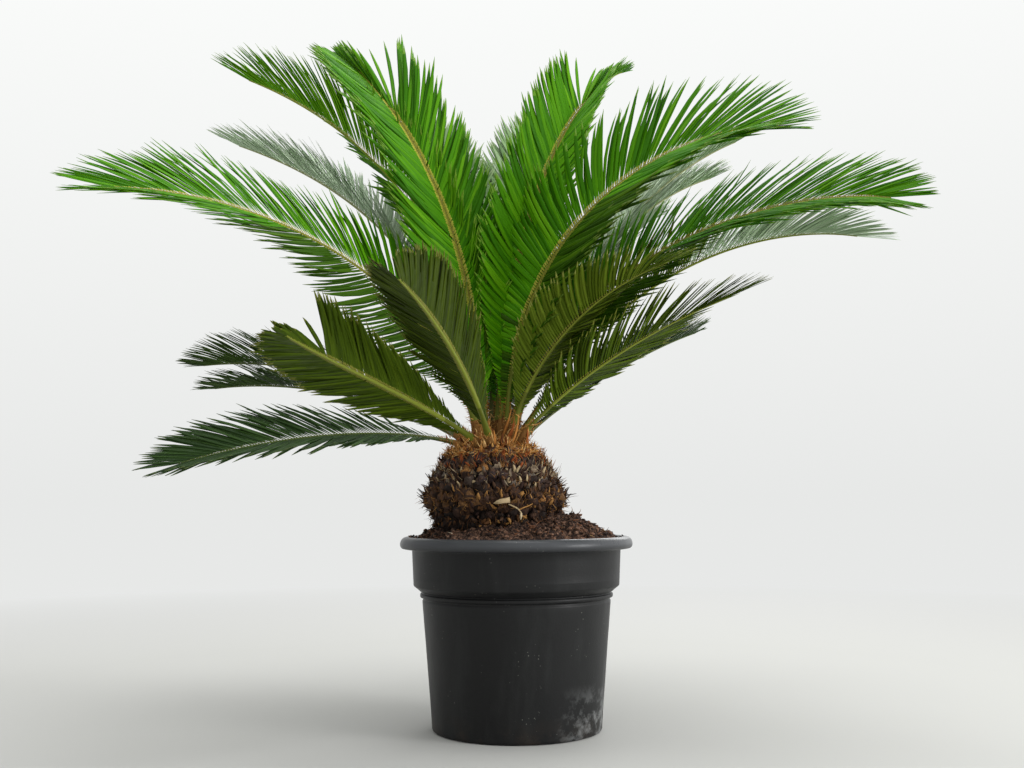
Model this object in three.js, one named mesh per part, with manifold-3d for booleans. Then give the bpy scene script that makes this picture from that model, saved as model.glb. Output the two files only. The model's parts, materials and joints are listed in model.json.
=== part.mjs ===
// Sago palm (Cycas revoluta) growing in a round plastic nursery pot.
// Millimetres, +Z up. The origin is the centre of the pot's flat underside.
import * as THREE from 'three';
import { mergeVertices } from 'three/addons/utils/BufferGeometryUtils.js';
import Module from 'manifold-3d';

const wasm = await Module();
wasm.setup();

const rad = THREE.MathUtils.degToRad;

// ---------------------------------------------------------------- sizes
// pot: outer radii and heights, from the underside to the rolled rim
const RIM_R = 190;             // outside of the rolled rim
const RIM_TOP = 309;           // top of the rim
const RIM_BOTTOM = 289;        // under edge of the rim
const COLLAR_TOP_R = 170.5;    // collar under the rim
const COLLAR_BOTTOM_R = 168;
const COLLAR_BOTTOM = 231;
const STEP_R = 158.5;          // foot of the step under the collar
const STEP_Z = 223;
const GROOVE_R = 155.5;        // the two grooves under the step
const GROOVE_1_Z = 219.5;
const BAND_R = 157;
const GROOVE_2_Z = 210.5;
const BODY_TOP_R = 153.5;      // tapering body
const BODY_TOP_Z = 206;
const BODY_FOOT_R = 137.5;
const FOOT_ROUND = 4;          // rounding at the foot
const WALL = 3.2;              // wall of the pot
const FLOOR = 5;               // floor of the pot
const POT_SEGMENTS = 56;

// soil
const GAP = 0.4;               // clearance between neighbouring pieces
const SOIL_EDGE_Z = 303;       // soil where it meets the wall
const MOUND = 22;              // how far it rises beside the stem
const HUMP = 20;               // extra heap on the +X side of the stem
const HUMP_AT = [92, -18];
const HUMP_WIDTH = 46;
const SOIL_RINGS = 5;
const SOIL_SEGMENTS = 40;

// stem (caudex) and woolly crown
const STEM_X = -33;            // the stem stands off the centre of the pot
const STEM_BASE_Z = 314;       // flat cut at soil level
const STEM_LEAN_X = -4;        // lean from the cut to the tip
const STEM_PROFILE = [         // [height over the cut, radius]
  [0, 101], [8, 106], [26, 113], [52, 118], [78, 117],
  [100, 109], [116, 97], [127, 86], [131, 80],
];
const STEM_SEGMENTS = 28;
const CROWN_PROFILE = [[0, 79], [6, 70], [19, 46], [30, 22]];
const CROWN_BASE_Z = STEM_BASE_Z + 131 + GAP;

// fronds: the ring of leaf bases on the crown
const RING_IN = 18;            // radius of the ring for an upright frond
const RING_OUT = 52;           // added for a level one
const RING_LOW = 452;          // height of a level frond's base
const RING_RISE = 38;          // added for an upright one
const CROWN_X = -35;
const BLADE_T = 2.6;           // thickness of the blade
const RIB_T = 7;               // depth of the blade along its rib, at the base
const PETIOLE_W = 3.4;         // half width of the leaf stalk
const RIB_R0 = 3.7;            // half width kept for a rib, at the base
const RIB_R1 = 4.4;            // and along the blade
const STATIONS = 11;
const STEPS = 120;

// leaflet length and angle to the rib, along the frond
const LENGTH_AT = [[0.08, 0.10], [0.14, 0.34], [0.22, 0.66], [0.32, 0.90], [0.5, 1], [0.7, 1], [0.85, 0.90], [0.95, 0.74], [1, 0.56]];
const ANGLE_AT = [[0.1, 68], [0.3, 56], [0.5, 47], [0.7, 36], [0.85, 26], [1, 10]];
const FORWARD = 0.3;           // how far the outer half of a leaflet turns to the tip

// One row per frond: name, bearing of its base, bearing of its blade, elevation
// at the base, droop over its length, power of the droop, sideways bend,
// length, roll at the base, halfway and at the tip, leaflet length, spread of
// the leaflets at the base and at the tip, keel between the two halves of the
// blade at the base and at the tip, split.
const FRONDS = [
  ['frond_far_left', 190.5, 190.5, 76.1, 85, 0.84, 31.6, 748, -108, -45, -49, 150, 0.78, 0.82, 2, 17, 1],
  ['frond_far_right', 3.1, 3.1, 74.2, 91.5, 0.92, -60, 795, 76, 39, 58, 152, 0.95, 0.95, 2, 21, 1],
  ['frond_upper_right', -2.6, -2.6, 87.2, 93.1, 1.3, -26.7, 716, 48, 54, 44, 157, 1.35, 1.1, 18, 16, 1],
  ['frond_upper_left', 177.6, 177.6, 87.8, 54.9, 1.4, -57.5, 800, -75, -30, -35, 171, 0.79, 1.2, 2, 30, 0],
  ['frond_top_left', 148.1, 148.1, 89.5, 64.7, 0.81, 16.9, 868, 60, 56, -4, 155, 0.7, 1.32, 13, 37, 1],
  ['frond_top_right', 40.1, 40.1, 89.5, 64.5, 1.29, 22.4, 872, 80, 59, -10, 127, 1.09, 1.37, 8, 57, 0],
  ['frond_low_right', -16.5, -16.5, 47.5, 25.8, 0.69, 14, 400, -20, -17, 7, 125, 1.15, 1.05, 10, 15, 0],
  ['frond_low_left', -157.2, -157.2, 14.9, 31.7, 0.6, 13.3, 452, -27, -30, -36, 112, 0.85, 1.15, 2, 27, 0],
  ['frond_front_left', -119.2, -119.2, 20.5, 18.5, 0.6, 24, 600, 62, 56, 41, 109, 0.98, 0.92, 49, 23, 0],
  ['frond_front_mid', -98, -98, 29, 25.3, 0.6, -0, 630, 26, 26, 19, 106, 1.42, 1.27, 59, 45, 0],
  ['frond_front_right', -31.1, -31.1, 70, 56, 0.96, 3.4, 387, -57, -21, 17, 90, 1.03, 1.7, 44, 10, 0],
  ['frond_right_under', 15.6, 15.6, 55.6, 71, 1.61, -48.7, 700, -6, -11, -15, 124, 1.09, 1.15, 30, 38, 1],
  ['frond_left_mid', 168, 154.6, 35.5, 37, 0.8, -4.8, 590, 9, 12, 16, 123, 1, 1, 14, 46, 0],
  ['frond_left_under', 148, 151.6, 27.9, 29.9, 0.8, -6.6, 598, 0, 0, 0, 110, 1, 1, 14, 46, 0],
  ['frond_back_left', 134, 134, 74.9, 53.5, 0.8, 32, 838, 11, 7, 3, 140, 1, 1, 14, 46, 1],
  ['frond_right_back_low', 37, 37.5, 36.5, 25.7, 0.8, 31.5, 626, 0, 0, 0, 110, 1, 1, 14, 46, 0],
  ['frond_back_right_high', 28, 37.6, 69.4, 45.4, 0.9, 5.4, 870, 0, 0, 0, 140, 1, 1, 14, 46, 0],
  ['frond_back_right_mid', 46, 47.1, 67.3, 47.4, 0.85, 0.2, 855, 0, 0, 0, 140, 1, 1, 14, 46, 0],
  ['frond_back_right_low', 64, 49.7, 58.5, 41.9, 1.06, 20.1, 816, 0, 0, 0, 140, 1, 1, 14, 46, 0],
  ['frond_back_mid', 95, 94.4, 71.9, 57, 1.27, -3.3, 860, 0, 0, 0, 150, 1, 1, 14, 46, 1],
  ['frond_back_a', 124, 113, 77, 52, 1.2, 0, 840, 0, 0, 0, 155, 1, 1, 14, 46, 0],
  ['frond_back_b', 82, 76, 77, 50, 1.2, 0, 840, 5, 2, 0, 155, 1, 1, 14, 46, 0],
  ['frond_back_c', 112, 98, 63, 58, 1.2, 5, 740, 0, 0, 0, 145, 1, 1, 14, 46, 0],
  ['frond_back_d', 64, 64, 50, 44, 1.1, 0, 600, 0, 0, 0, 120, 1, 1, 14, 46, 0],
  ['frond_back_e', 90, 90, 46, 44, 1.1, 0, 600, 0, 0, 0, 120, 1, 1, 14, 46, 0],
  ['frond_back_f', 113, 113, 50, 46, 1.1, 0, 560, 0, 0, 0, 120, 1, 1, 14, 46, 0],
];

// ------------------------------------------------------------- materials
const paint = (color, roughness) => new THREE.MeshStandardMaterial({ color, roughness, metalness: 0 });
const potPlastic = paint('#33363a', 0.55);
const peat = paint('#33221a', 0.95);
const stemArmour = paint('#3a2a22', 0.9);
const wool = paint('#a86c36', 0.95);
const youngLeaf = paint('#3f7d14', 0.5);
const oldLeaf = paint('#3a4f16', 0.5);

// ------------------------------------------------------------ helpers
function ramp(table, s) {
  if (s <= table[0][0]) return table[0][1];
  for (let i = 1; i < table.length; i++) {
    const [a, va] = table[i - 1];
    const [b, vb] = table[i];
    if (s <= b) return va + ((vb - va) * (s - a)) / (b - a);
  }
  return table[table.length - 1][1];
}

// closed BufferGeometry -> solid, and back
function toSolid(geometry) {
  const bare = geometry.clone();
  bare.deleteAttribute('normal');
  bare.deleteAttribute('uv');
  const g = mergeVertices(bare, 1e-4);
  return new wasm.Manifold(new wasm.Mesh({
    numProp: 3,
    vertProperties: new Float32Array(g.attributes.position.array),
    triVerts: new Uint32Array(g.index.array),
  }));
}

// the largest connected piece of a solid, as a BufferGeometry
function toGeometry(solid) {
  const m = solid.getMesh();
  const at = (i, k) => m.vertProperties[i * m.numProp + k];
  const root = Array.from({ length: m.vertProperties.length / m.numProp }, (_, i) => i);
  const find = (i) => {
    while (root[i] !== i) { root[i] = root[root[i]]; i = root[i]; }
    return i;
  };
  const tris = [];
  for (let i = 0; i < m.triVerts.length; i += 3) {
    const t = [m.triVerts[i], m.triVerts[i + 1], m.triVerts[i + 2]];
    tris.push(t);
    root[find(t[0])] = find(t[1]);
    root[find(t[1])] = find(t[2]);
  }
  const volume = new Map();
  tris.forEach(([a, b, c]) => {
    const v = at(a, 0) * (at(b, 1) * at(c, 2) - at(b, 2) * at(c, 1))
      + at(a, 1) * (at(b, 2) * at(c, 0) - at(b, 0) * at(c, 2))
      + at(a, 2) * (at(b, 0) * at(c, 1) - at(b, 1) * at(c, 0));
    volume.set(find(a), (volume.get(find(a)) ?? 0) + v);
  });
  const keep = [...volume.entries()].reduce((p, q) => (q[1] > p[1] ? q : p))[0];
  const place = new Map();
  const pos = [];
  const index = [];
  tris.filter(([a]) => find(a) === keep).flat().forEach((i) => {
    if (!place.has(i)) {
      place.set(i, pos.length / 3);
      pos.push(at(i, 0), at(i, 1), at(i, 2));
    }
    index.push(place.get(i));
  });
  const g = new THREE.BufferGeometry();
  g.setAttribute('position', new THREE.BufferAttribute(new Float32Array(pos), 3));
  g.setIndex(index);
  g.computeVertexNormals();
  return g;
}

// rings of points joined into one closed body, with flat fans over the ends.
// turned lists the sides whose panels are split along the other diagonal: the two
// faces of a thin twisted panel share one diagonal, so they never cross
function loft(rings, capStart, capEnd, turned = []) {
  const n = rings[0].length;
  const pos = [];
  rings.forEach((ring) => ring.forEach((p) => pos.push(p.x, p.y, p.z)));
  const index = [];
  for (let i = 0; i + 1 < rings.length; i++) {
    for (let k = 0; k < n; k++) {
      const a = i * n + k;
      const b = i * n + ((k + 1) % n);
      if (turned.includes(k)) index.push(a, b, a + n, b, b + n, a + n);
      else index.push(a, b, b + n, a, b + n, a + n);
    }
  }
  const last = (rings.length - 1) * n;
  capStart.forEach(([a, b, c]) => index.push(a, c, b));
  capEnd.forEach(([a, b, c]) => index.push(last + a, last + b, last + c));
  const g = new THREE.BufferGeometry();
  g.setAttribute('position', new THREE.BufferAttribute(new Float32Array(pos), 3));
  g.setIndex(index);
  return g;
}

// ----------------------------------------------------------- frond curve
function frondSpec(row) {
  const [name, ring, bearing, rise, droop, power, side, length, roll0, rollMid, roll1, leaflet,
    spread0, spread1, keel0, keel1, split] = row;
  return {
    name, ring, bearing, rise, droop, power, side, length, leaflet, split,
    roll: [[0, roll0], [0.5, rollMid], [1, roll1]],
    spread: [[0, spread0], [1, spread1]],
    keel: [[0, keel0], [1, keel1]],
  };
}

// rib points and the frame (along, up, across) at each of them
function ribOf(f) {
  const c = Math.cos(rad(f.rise));
  const s = Math.sin(rad(f.rise));
  const r = RING_IN + RING_OUT * c;
  const p = new THREE.Vector3(
    CROWN_X + r * Math.cos(rad(f.ring)), r * Math.sin(rad(f.ring)), RING_LOW + RING_RISE * s);
  const along = (t) => {
    const el = rad(f.rise - f.droop * t ** f.power);
    const az = rad(f.bearing + f.side * t ** 1.5);
    return new THREE.Vector3(Math.cos(el) * Math.cos(az), Math.cos(el) * Math.sin(az), Math.sin(el));
  };
  const rib = [];
  for (let i = 0; i <= STEPS; i++) {
    const t = i / STEPS;
    const T = along(t);
    const up = new THREE.Vector3(0, 0, 1).addScaledVector(T, -T.z).normalize();
    const across = new THREE.Vector3().crossVectors(T, up);
    const roll = rad(ramp(f.roll, t));
    const N = up.clone().multiplyScalar(Math.cos(roll)).addScaledVector(across, Math.sin(roll));
    const B = across.clone().multiplyScalar(Math.cos(roll)).addScaledVector(up, -Math.sin(roll));
    rib.push({ t, P: p.clone(), T, N, B });
    if (i < STEPS) {
      const mid = along(t).add(along((i + 1) / STEPS)).multiplyScalar(0.5);
      p.addScaledVector(mid, f.length / STEPS);
    }
  }
  return rib;
}

const ribAt = (rib, t) => rib[Math.min(STEPS, Math.max(0, Math.round(t * STEPS)))];

// offset from the rib to the tip of the leaflet that leaves it at t
function leafletTip(f, q, side, extra) {
  const a = rad(ramp(ANGLE_AT, q.t) * ramp(f.spread, q.t));
  const k = rad(ramp(f.keel, q.t));
  const l = f.leaflet * ramp(LENGTH_AT, q.t) + extra;
  const row = q.B.clone().multiplyScalar(side * Math.cos(k)).addScaledVector(q.N, Math.sin(k));
  const d = q.T.clone().multiplyScalar(Math.cos(a)).addScaledVector(row, Math.sin(a));
  const d2 = d.clone().addScaledVector(q.T, FORWARD).normalize();
  return d.multiplyScalar(l * 0.5).addScaledVector(d2, l * 0.5);
}

// stations: two on the stalk, the rest along the blade
function stationList(t0, t1) {
  const all = [0, 0.09];
  for (let i = 0; i < STATIONS - 2; i++) all.push(0.135 + (0.865 * i) / (STATIONS - 3));
  return [t0, ...all.filter((t) => t > t0 + 0.03 && t < t1 - 0.03), t1];
}

// V-shaped blade: left edge, rib, right edge, each with an upper and a lower point
function bladeGeometry(f, rib, t0, t1, grow) {
  const rings = stationList(t0, t1).map((t) => {
    const q = ribAt(rib, t);
    const k = rad(ramp(f.keel, q.t));
    const half = BLADE_T / 2 + grow;
    const ribHalf = Math.max(half, (RIB_T / 2) * (1 - 0.55 * q.t) + grow);
    const edge = (side) => (q.t < 0.1
      ? q.B.clone().multiplyScalar(side * (PETIOLE_W + grow))
      : leafletTip(f, q, side, grow * 2));
    const normal = (side) => q.N.clone().multiplyScalar(Math.cos(k)).addScaledVector(q.B, -side * Math.sin(k));
    const place = (offset, n, h) => q.P.clone().add(offset).addScaledVector(n, h);
    const R = edge(1);
    const L = edge(-1);
    const zero = new THREE.Vector3();
    return [
      place(L, normal(-1), half), place(zero, q.N, ribHalf * 0.6), place(R, normal(1), half),
      place(R, normal(1), -half), place(zero, q.N, -ribHalf), place(L, normal(-1), -half),
    ];
  });
  if (grow > 0) {
    const q0 = ribAt(rib, t0);
    const q1 = ribAt(rib, t1);
    rings[0].forEach((p) => p.addScaledVector(q0.T, -grow));
    rings[rings.length - 1].forEach((p) => p.addScaledVector(q1.T, grow));
  }
  const caps = [[0, 1, 4], [0, 4, 5], [1, 2, 3], [1, 3, 4]];
  return loft(rings, caps, caps, [3, 4]);
}

// six-sided rod round the rib, for the room that each rib keeps
function rodGeometry(rib, t0, t1, grow) {
  const rings = stationList(t0, t1).map((t) => {
    const q = ribAt(rib, t);
    const r = (q.t < 0.1 ? RIB_R0 : RIB_R1) + grow;
    const ring = [];
    for (let i = 0; i < 6; i++) {
      const a = -(Math.PI * 2 * i) / 6;
      ring.push(q.P.clone().addScaledVector(q.B, r * Math.cos(a)).addScaledVector(q.N, r * Math.sin(a)));
    }
    return ring;
  });
  rings[0].forEach((p) => p.addScaledVector(ribAt(rib, t0).T, -grow - 0.01));
  rings[rings.length - 1].forEach((p) => p.addScaledVector(ribAt(rib, t1).T, grow + 0.01));
  const caps = [[0, 1, 2], [0, 2, 3], [0, 3, 4], [0, 4, 5]];
  return loft(rings, caps, caps);
}

// --------------------------------------------------------------- pieces
const palm = new THREE.Group();

function add(name, geometry, material) {
  const mesh = new THREE.Mesh(geometry, material);
  mesh.name = name;
  palm.add(mesh);
  return mesh;
}

const latheGeometry = (profile, segments) => {
  const g = new THREE.LatheGeometry(profile.map(([r, z]) => new THREE.Vector2(r, z)), segments);
  g.rotateX(Math.PI / 2);
  return g;
};

// pot: one turned shell, open at the top, with a flat underside
const inner = (r) => r - WALL;
const potProfile = [
  [0, 0], [BODY_FOOT_R - FOOT_ROUND, 0], [BODY_FOOT_R, FOOT_ROUND],
  [BODY_TOP_R, BODY_TOP_Z], [GROOVE_R - 1, GROOVE_2_Z - 1.5], [BAND_R, GROOVE_2_Z + 1.5],
  [BAND_R, GROOVE_1_Z - 1.5], [GROOVE_R, GROOVE_1_Z], [STEP_R, STEP_Z],
  [COLLAR_BOTTOM_R, COLLAR_BOTTOM], [COLLAR_TOP_R, RIM_BOTTOM],
  [RIM_R - 4, RIM_BOTTOM + 1], [RIM_R, RIM_BOTTOM + 7], [RIM_R - 2, RIM_TOP - 6],
  [RIM_R - 9, RIM_TOP], [COLLAR_TOP_R - 1, RIM_TOP - 1],
  [inner(COLLAR_TOP_R), RIM_TOP - 6], [inner(COLLAR_BOTTOM_R), COLLAR_BOTTOM + 2],
  [inner(GROOVE_R - 1), GROOVE_2_Z], [inner(BODY_FOOT_R), FLOOR + 2], [inner(BODY_FOOT_R) - 3, FLOOR],
  [0, FLOOR],
];
add('pot', latheGeometry(potProfile, POT_SEGMENTS), potPlastic);

// stem: a turned body from the flat cut, leaning a little to its tip
const stemProfile = (grow, drop) => [
  [0, STEM_BASE_Z - drop],
  ...STEM_PROFILE.map(([h, r], i) => [r + grow, STEM_BASE_Z + h - (i === 0 ? drop : 0)]),
  [0, STEM_BASE_Z + STEM_PROFILE[STEM_PROFILE.length - 1][0]],
];
function leaning(geometry) {
  const p = geometry.attributes.position;
  const span = STEM_PROFILE[STEM_PROFILE.length - 1][0];
  for (let i = 0; i < p.count; i++) {
    p.setX(i, p.getX(i) + STEM_X + (STEM_LEAN_X * (p.getZ(i) - STEM_BASE_Z)) / span);
  }
  return geometry;
}
const stem = leaning(latheGeometry(stemProfile(0, 0), STEM_SEGMENTS));
stem.computeVertexNormals();
add('trunk', stem, stemArmour);

// crown: the woolly dome that carries the leaf bases
const crown = latheGeometry([
  [0, CROWN_BASE_Z], ...CROWN_PROFILE.map(([h, r]) => [r, CROWN_BASE_Z + h]), [0, CROWN_BASE_Z + 33],
], STEM_SEGMENTS);
crown.translate(CROWN_X - 2, 0, 0);
add('crown', crown, wool);

// soil: fills the pot, heaped round the stem, with a seat for the stem's flat cut
const soilHeight = (x, y) => {
  const edge = inner(COLLAR_TOP_R) - GAP;
  const r = Math.min(1, Math.hypot(x, y) / edge);
  const hump = HUMP * Math.exp(-((x - HUMP_AT[0]) ** 2 + (y - HUMP_AT[1]) ** 2) / (2 * HUMP_WIDTH ** 2));
  return SOIL_EDGE_Z + MOUND * (1 - r ** 2.2) + hump * (1 - r ** 6);
};
const soilTop = [];
for (let i = 0; i <= SOIL_RINGS; i++) soilTop.push([(inner(COLLAR_TOP_R) - GAP - 1) * (1 - i / SOIL_RINGS), SOIL_EDGE_Z + 1]);
const soilProfile = [
  [0, FLOOR + GAP], [inner(BODY_FOOT_R) - 3 - GAP, FLOOR + GAP], [inner(BODY_FOOT_R) - GAP, FLOOR + 2 + GAP],
  [inner(GROOVE_R - 1) - GAP - 0.4, GROOVE_2_Z], [inner(COLLAR_BOTTOM_R) - GAP - 0.4, COLLAR_BOTTOM + 2],
  [inner(COLLAR_TOP_R) - GAP - 0.4, SOIL_EDGE_Z - 1], ...soilTop,
];
const soilRaw = latheGeometry(soilProfile, SOIL_SEGMENTS);
{
  const p = soilRaw.attributes.position;
  for (let i = 0; i < p.count; i++) {
    if (p.getZ(i) > SOIL_EDGE_Z) p.setZ(i, soilHeight(p.getX(i), p.getY(i)));
  }
}
const soilSolid = toSolid(soilRaw).subtract(toSolid(leaning(latheGeometry(stemProfile(GAP + 0.6, GAP), STEM_SEGMENTS))));
add('soil', toGeometry(soilSolid), peat);

// fronds: where two blades cross, the one lower in the list is cut round the
// other, and every rib keeps its own room through all the blades it crosses
const SPLIT_AT = 0.5;
const pieces = [];
FRONDS.map(frondSpec).forEach((f) => {
  const rib = ribOf(f);
  const spans = f.split
    ? [[0, SPLIT_AT - 0.0005, 'lower'], [SPLIT_AT + 1 / STEPS, 1, 'upper']]
    : [[0, 1, '']];
  spans.forEach(([t0, t1, tag], i) => {
    const blade = toSolid(bladeGeometry(f, rib, t0, t1, 0));
    const guardGeometry = bladeGeometry(f, rib, t0, t1, GAP);
    guardGeometry.computeBoundingBox();
    const box = guardGeometry.boundingBox;
    const guard = toSolid(guardGeometry);
    const keep = toSolid(rodGeometry(rib, t0, t1, 0));
    const keepGuard = toSolid(rodGeometry(rib, t0, t1, GAP));
    pieces.push({ f, name: tag ? `${f.name}_${tag}` : f.name, box, blade, guard, keep, keepGuard });
  });
});

pieces.forEach((piece, i) => {
  let body = piece.blade;
  pieces.forEach((other, j) => {
    if (j === i || !piece.box.intersectsBox(other.box)) return;
    if (other.f === piece.f) {
      if (j < i) body = body.subtract(other.guard);
    } else if (j < i) {
      body = body.subtract(other.guard.subtract(piece.keep));
    } else {
      body = body.subtract(other.keepGuard);
    }
  });
  const young = piece.f.leaflet > 125;
  add(piece.name, toGeometry(body), young ? youngLeaf : oldLeaf);
});

export default palm;
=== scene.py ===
import json
import math

import bpy
import numpy as np
from mathutils import Matrix

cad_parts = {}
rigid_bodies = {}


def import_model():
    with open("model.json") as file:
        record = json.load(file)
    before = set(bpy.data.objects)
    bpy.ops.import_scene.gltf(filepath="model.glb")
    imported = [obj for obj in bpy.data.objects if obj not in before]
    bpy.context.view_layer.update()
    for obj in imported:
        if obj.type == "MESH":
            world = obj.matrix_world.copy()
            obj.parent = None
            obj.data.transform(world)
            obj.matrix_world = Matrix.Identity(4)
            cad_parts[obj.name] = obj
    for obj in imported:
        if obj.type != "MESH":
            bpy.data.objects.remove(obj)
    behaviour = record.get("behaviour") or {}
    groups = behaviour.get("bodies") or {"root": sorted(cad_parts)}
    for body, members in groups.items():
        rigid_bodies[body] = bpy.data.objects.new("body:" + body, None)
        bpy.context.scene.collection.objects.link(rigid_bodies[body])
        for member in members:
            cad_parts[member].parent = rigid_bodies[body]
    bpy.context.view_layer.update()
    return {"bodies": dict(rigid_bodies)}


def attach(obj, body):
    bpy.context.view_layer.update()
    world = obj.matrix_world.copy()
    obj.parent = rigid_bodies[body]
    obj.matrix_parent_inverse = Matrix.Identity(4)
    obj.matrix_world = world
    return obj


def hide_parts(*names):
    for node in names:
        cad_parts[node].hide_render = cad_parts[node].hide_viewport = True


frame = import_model()
BODY = sorted(frame["bodies"])[0]

# ------------------------------------------------------------------ camera
# fitted to the pot's rim, grooves and foot; made first
PITCH, YAW, ROLL = math.radians(5.5), math.radians(-0.17), math.radians(-0.26)
fw = np.array([math.sin(YAW) * math.cos(PITCH), math.cos(YAW) * math.cos(PITCH), math.sin(PITCH)])
rt = np.array([math.cos(YAW), -math.sin(YAW), 0.0])
up = np.cross(rt, fw)
rt2 = math.cos(ROLL) * rt + math.sin(ROLL) * up
up2 = -math.sin(ROLL) * rt + math.cos(ROLL) * up
cam_data = bpy.data.cameras.new("camera")
cam_data.sensor_width = 36.0
cam_data.lens = 41.48
cam_data.clip_start, cam_data.clip_end = 0.05, 60.0
cam = bpy.data.objects.new("camera", cam_data)
bpy.context.scene.collection.objects.link(cam)
cam.matrix_world = Matrix((
    (rt2[0], up2[0], -fw[0], 0.0),
    (rt2[1], up2[1], -fw[1], -1.955),
    (rt2[2], up2[2], -fw[2], 0.372),
    (0, 0, 0, 1)))
bpy.context.scene.camera = cam

# ------------------------------------------------------------------ fronds
# name, ring bearing, blade bearing, rise, droop, power, side, length mm, roll at
# the base, halfway and at the tip, leaflet mm, spread at the base and at the tip,
# keel at the base and at the tip, split, kind of leaf
FRONDS = [
    ("frond_far_left", 190.5, 190.5, 76.1, 85, 0.84, 31.6, 748, -108, -45, -49, 150, 0.78, 0.82, 2, 17, 1, "young"),
    ("frond_far_right", 3.1, 3.1, 74.2, 91.5, 0.92, -60, 795, 76, 39, 58, 152, 0.95, 0.95, 2, 21, 1, "young"),
    ("frond_upper_right", -2.6, -2.6, 87.2, 93.1, 1.3, -26.7, 716, 48, 54, 44, 157, 1.35, 1.1, 18, 16, 1, "young"),
    ("frond_upper_left", 177.6, 177.6, 87.8, 54.9, 1.4, -57.5, 800, -75, -30, -35, 171, 0.79, 1.2, 2, 30, 0, "young"),
    ("frond_top_left", 148.1, 148.1, 89.5, 64.7, 0.81, 16.9, 868, 60, 56, -4, 155, 0.7, 1.32, 13, 37, 1, "young"),
    ("frond_top_right", 40.1, 40.1, 89.5, 64.5, 1.29, 22.4, 872, 80, 59, -10, 127, 1.09, 1.37, 8, 57, 0, "young"),
    ("frond_low_right", -16.5, -16.5, 47.5, 25.8, 0.69, 14, 400, -20, -17, 7, 125, 1.15, 1.05, 10, 15, 0, "olive"),
    ("frond_low_left", -157.2, -157.2, 14.9, 31.7, 0.6, 13.3, 452, -27, -30, -36, 112, 0.85, 1.15, 2, 27, 0, "dark"),
    ("frond_front_left", -119.2, -119.2, 20.5, 18.5, 0.6, 24, 600, 62, 56, 41, 109, 0.98, 0.92, 49, 23, 0, "olive"),
    ("frond_front_mid", -98, -98, 29, 25.3, 0.6, -0, 630, 26, 26, 19, 106, 1.42, 1.27, 59, 45, 0, "olive"),
    ("frond_front_right", -31.1, -31.1, 70, 56, 0.96, 3.4, 387, -57, -21, 17, 90, 1.03, 1.7, 44, 10, 0, "olive"),
    ("frond_right_under", 15.6, 15.6, 55.6, 71, 1.61, -48.7, 700, -6, -11, -15, 124, 1.09, 1.15, 30, 38, 1, "olive"),
    ("frond_left_mid", 168, 154.6, 35.5, 37, 0.8, -4.8, 590, 9, 12, 16, 123, 1, 1, 14, 46, 0, "dark"),
    ("frond_left_under", 148, 151.6, 27.9, 29.9, 0.8, -6.6, 598, 0, 0, 0, 110, 1, 1, 14, 46, 0, "dark"),
    ("frond_back_left", 134, 134, 74.9, 53.5, 0.8, 32, 838, 11, 7, 3, 140, 1, 1, 14, 46, 1, "painted_sheen_tops"),
    ("frond_right_back_low", 37, 37.5, 36.5, 25.7, 0.8, 31.5, 626, 0, 0, 0, 110, 1, 1, 14, 46, 0, "dark"),
    ("frond_back_right_high", 28, 37.6, 69.4, 45.4, 0.9, 5.4, 870, 0, 0, 0, 140, 1, 1, 14, 46, 0, "painted_sheen_tops"),
    ("frond_back_right_mid", 46, 47.1, 67.3, 47.4, 0.85, 0.2, 855, 0, 0, 0, 140, 1, 1, 14, 46, 0, "painted_sheen_tops"),
    ("frond_back_right_low", 64, 49.7, 58.5, 41.9, 1.06, 20.1, 816, 0, 0, 0, 140, 1, 1, 14, 46, 0, "painted_sheen_tops"),
    ("frond_back_mid", 95, 94.4, 71.9, 57, 1.27, -3.3, 860, 0, 0, 0, 150, 1, 1, 14, 46, 1, "painted_sheen_tops"),
    ("frond_back_a", 124, 113, 77, 52, 1.2, 0, 840, 0, 0, 0, 155, 1, 1, 14, 46, 0, "young"),
    ("frond_back_b", 82, 76, 77, 50, 1.2, 0, 840, 5, 2, 0, 155, 1, 1, 14, 46, 0, "young"),
    ("frond_back_c", 112, 98, 63, 58, 1.2, 5, 740, 0, 0, 0, 145, 1, 1, 14, 46, 0, "dark"),
    ("frond_back_d", 64, 64, 50, 44, 1.1, 0, 600, 0, 0, 0, 120, 1, 1, 14, 46, 0, "dark"),
    ("frond_back_e", 90, 90, 46, 44, 1.1, 0, 600, 0, 0, 0, 120, 1, 1, 14, 46, 0, "dark"),
    ("frond_back_f", 113, 113, 50, 46, 1.1, 0, 560, 0, 0, 0, 120, 1, 1, 14, 46, 0, "olive"),
]
LENGTH_AT = ([0.05, 0.08, 0.14, 0.22, 0.32, 0.5, 0.7, 0.85, 0.95, 1.0],
             [0.05, 0.10, 0.34, 0.66, 0.90, 1.0, 1.0, 0.90, 0.74, 0.56])
ANGLE_AT = ([0.1, 0.3, 0.5, 0.7, 0.85, 1.0], [68, 56, 47, 36, 26, 10])
RIB_AT = ([0, 0.03, 0.10, 0.3, 0.6, 0.85, 1.0],
          [0.0078, 0.0062, 0.0046, 0.0034, 0.0025, 0.0016, 0.0008])
CROWN_X = -0.035
STEPS = 240


# ----------------------------------------------------------- small helpers
def unit(v):
    return v / np.maximum(np.linalg.norm(v, axis=-1, keepdims=True), 1e-12)


def _hash(i, j, k, seed):
    h = (i * 374761393 + j * 668265263 + k * 2147483647 + seed * 1274126177) & 0xFFFFFFFF
    h = ((h ^ (h >> 13)) * 1274126177) & 0xFFFFFFFF
    return ((h ^ (h >> 16)) & 0xFFFFFF) / float(0xFFFFFF)


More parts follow.
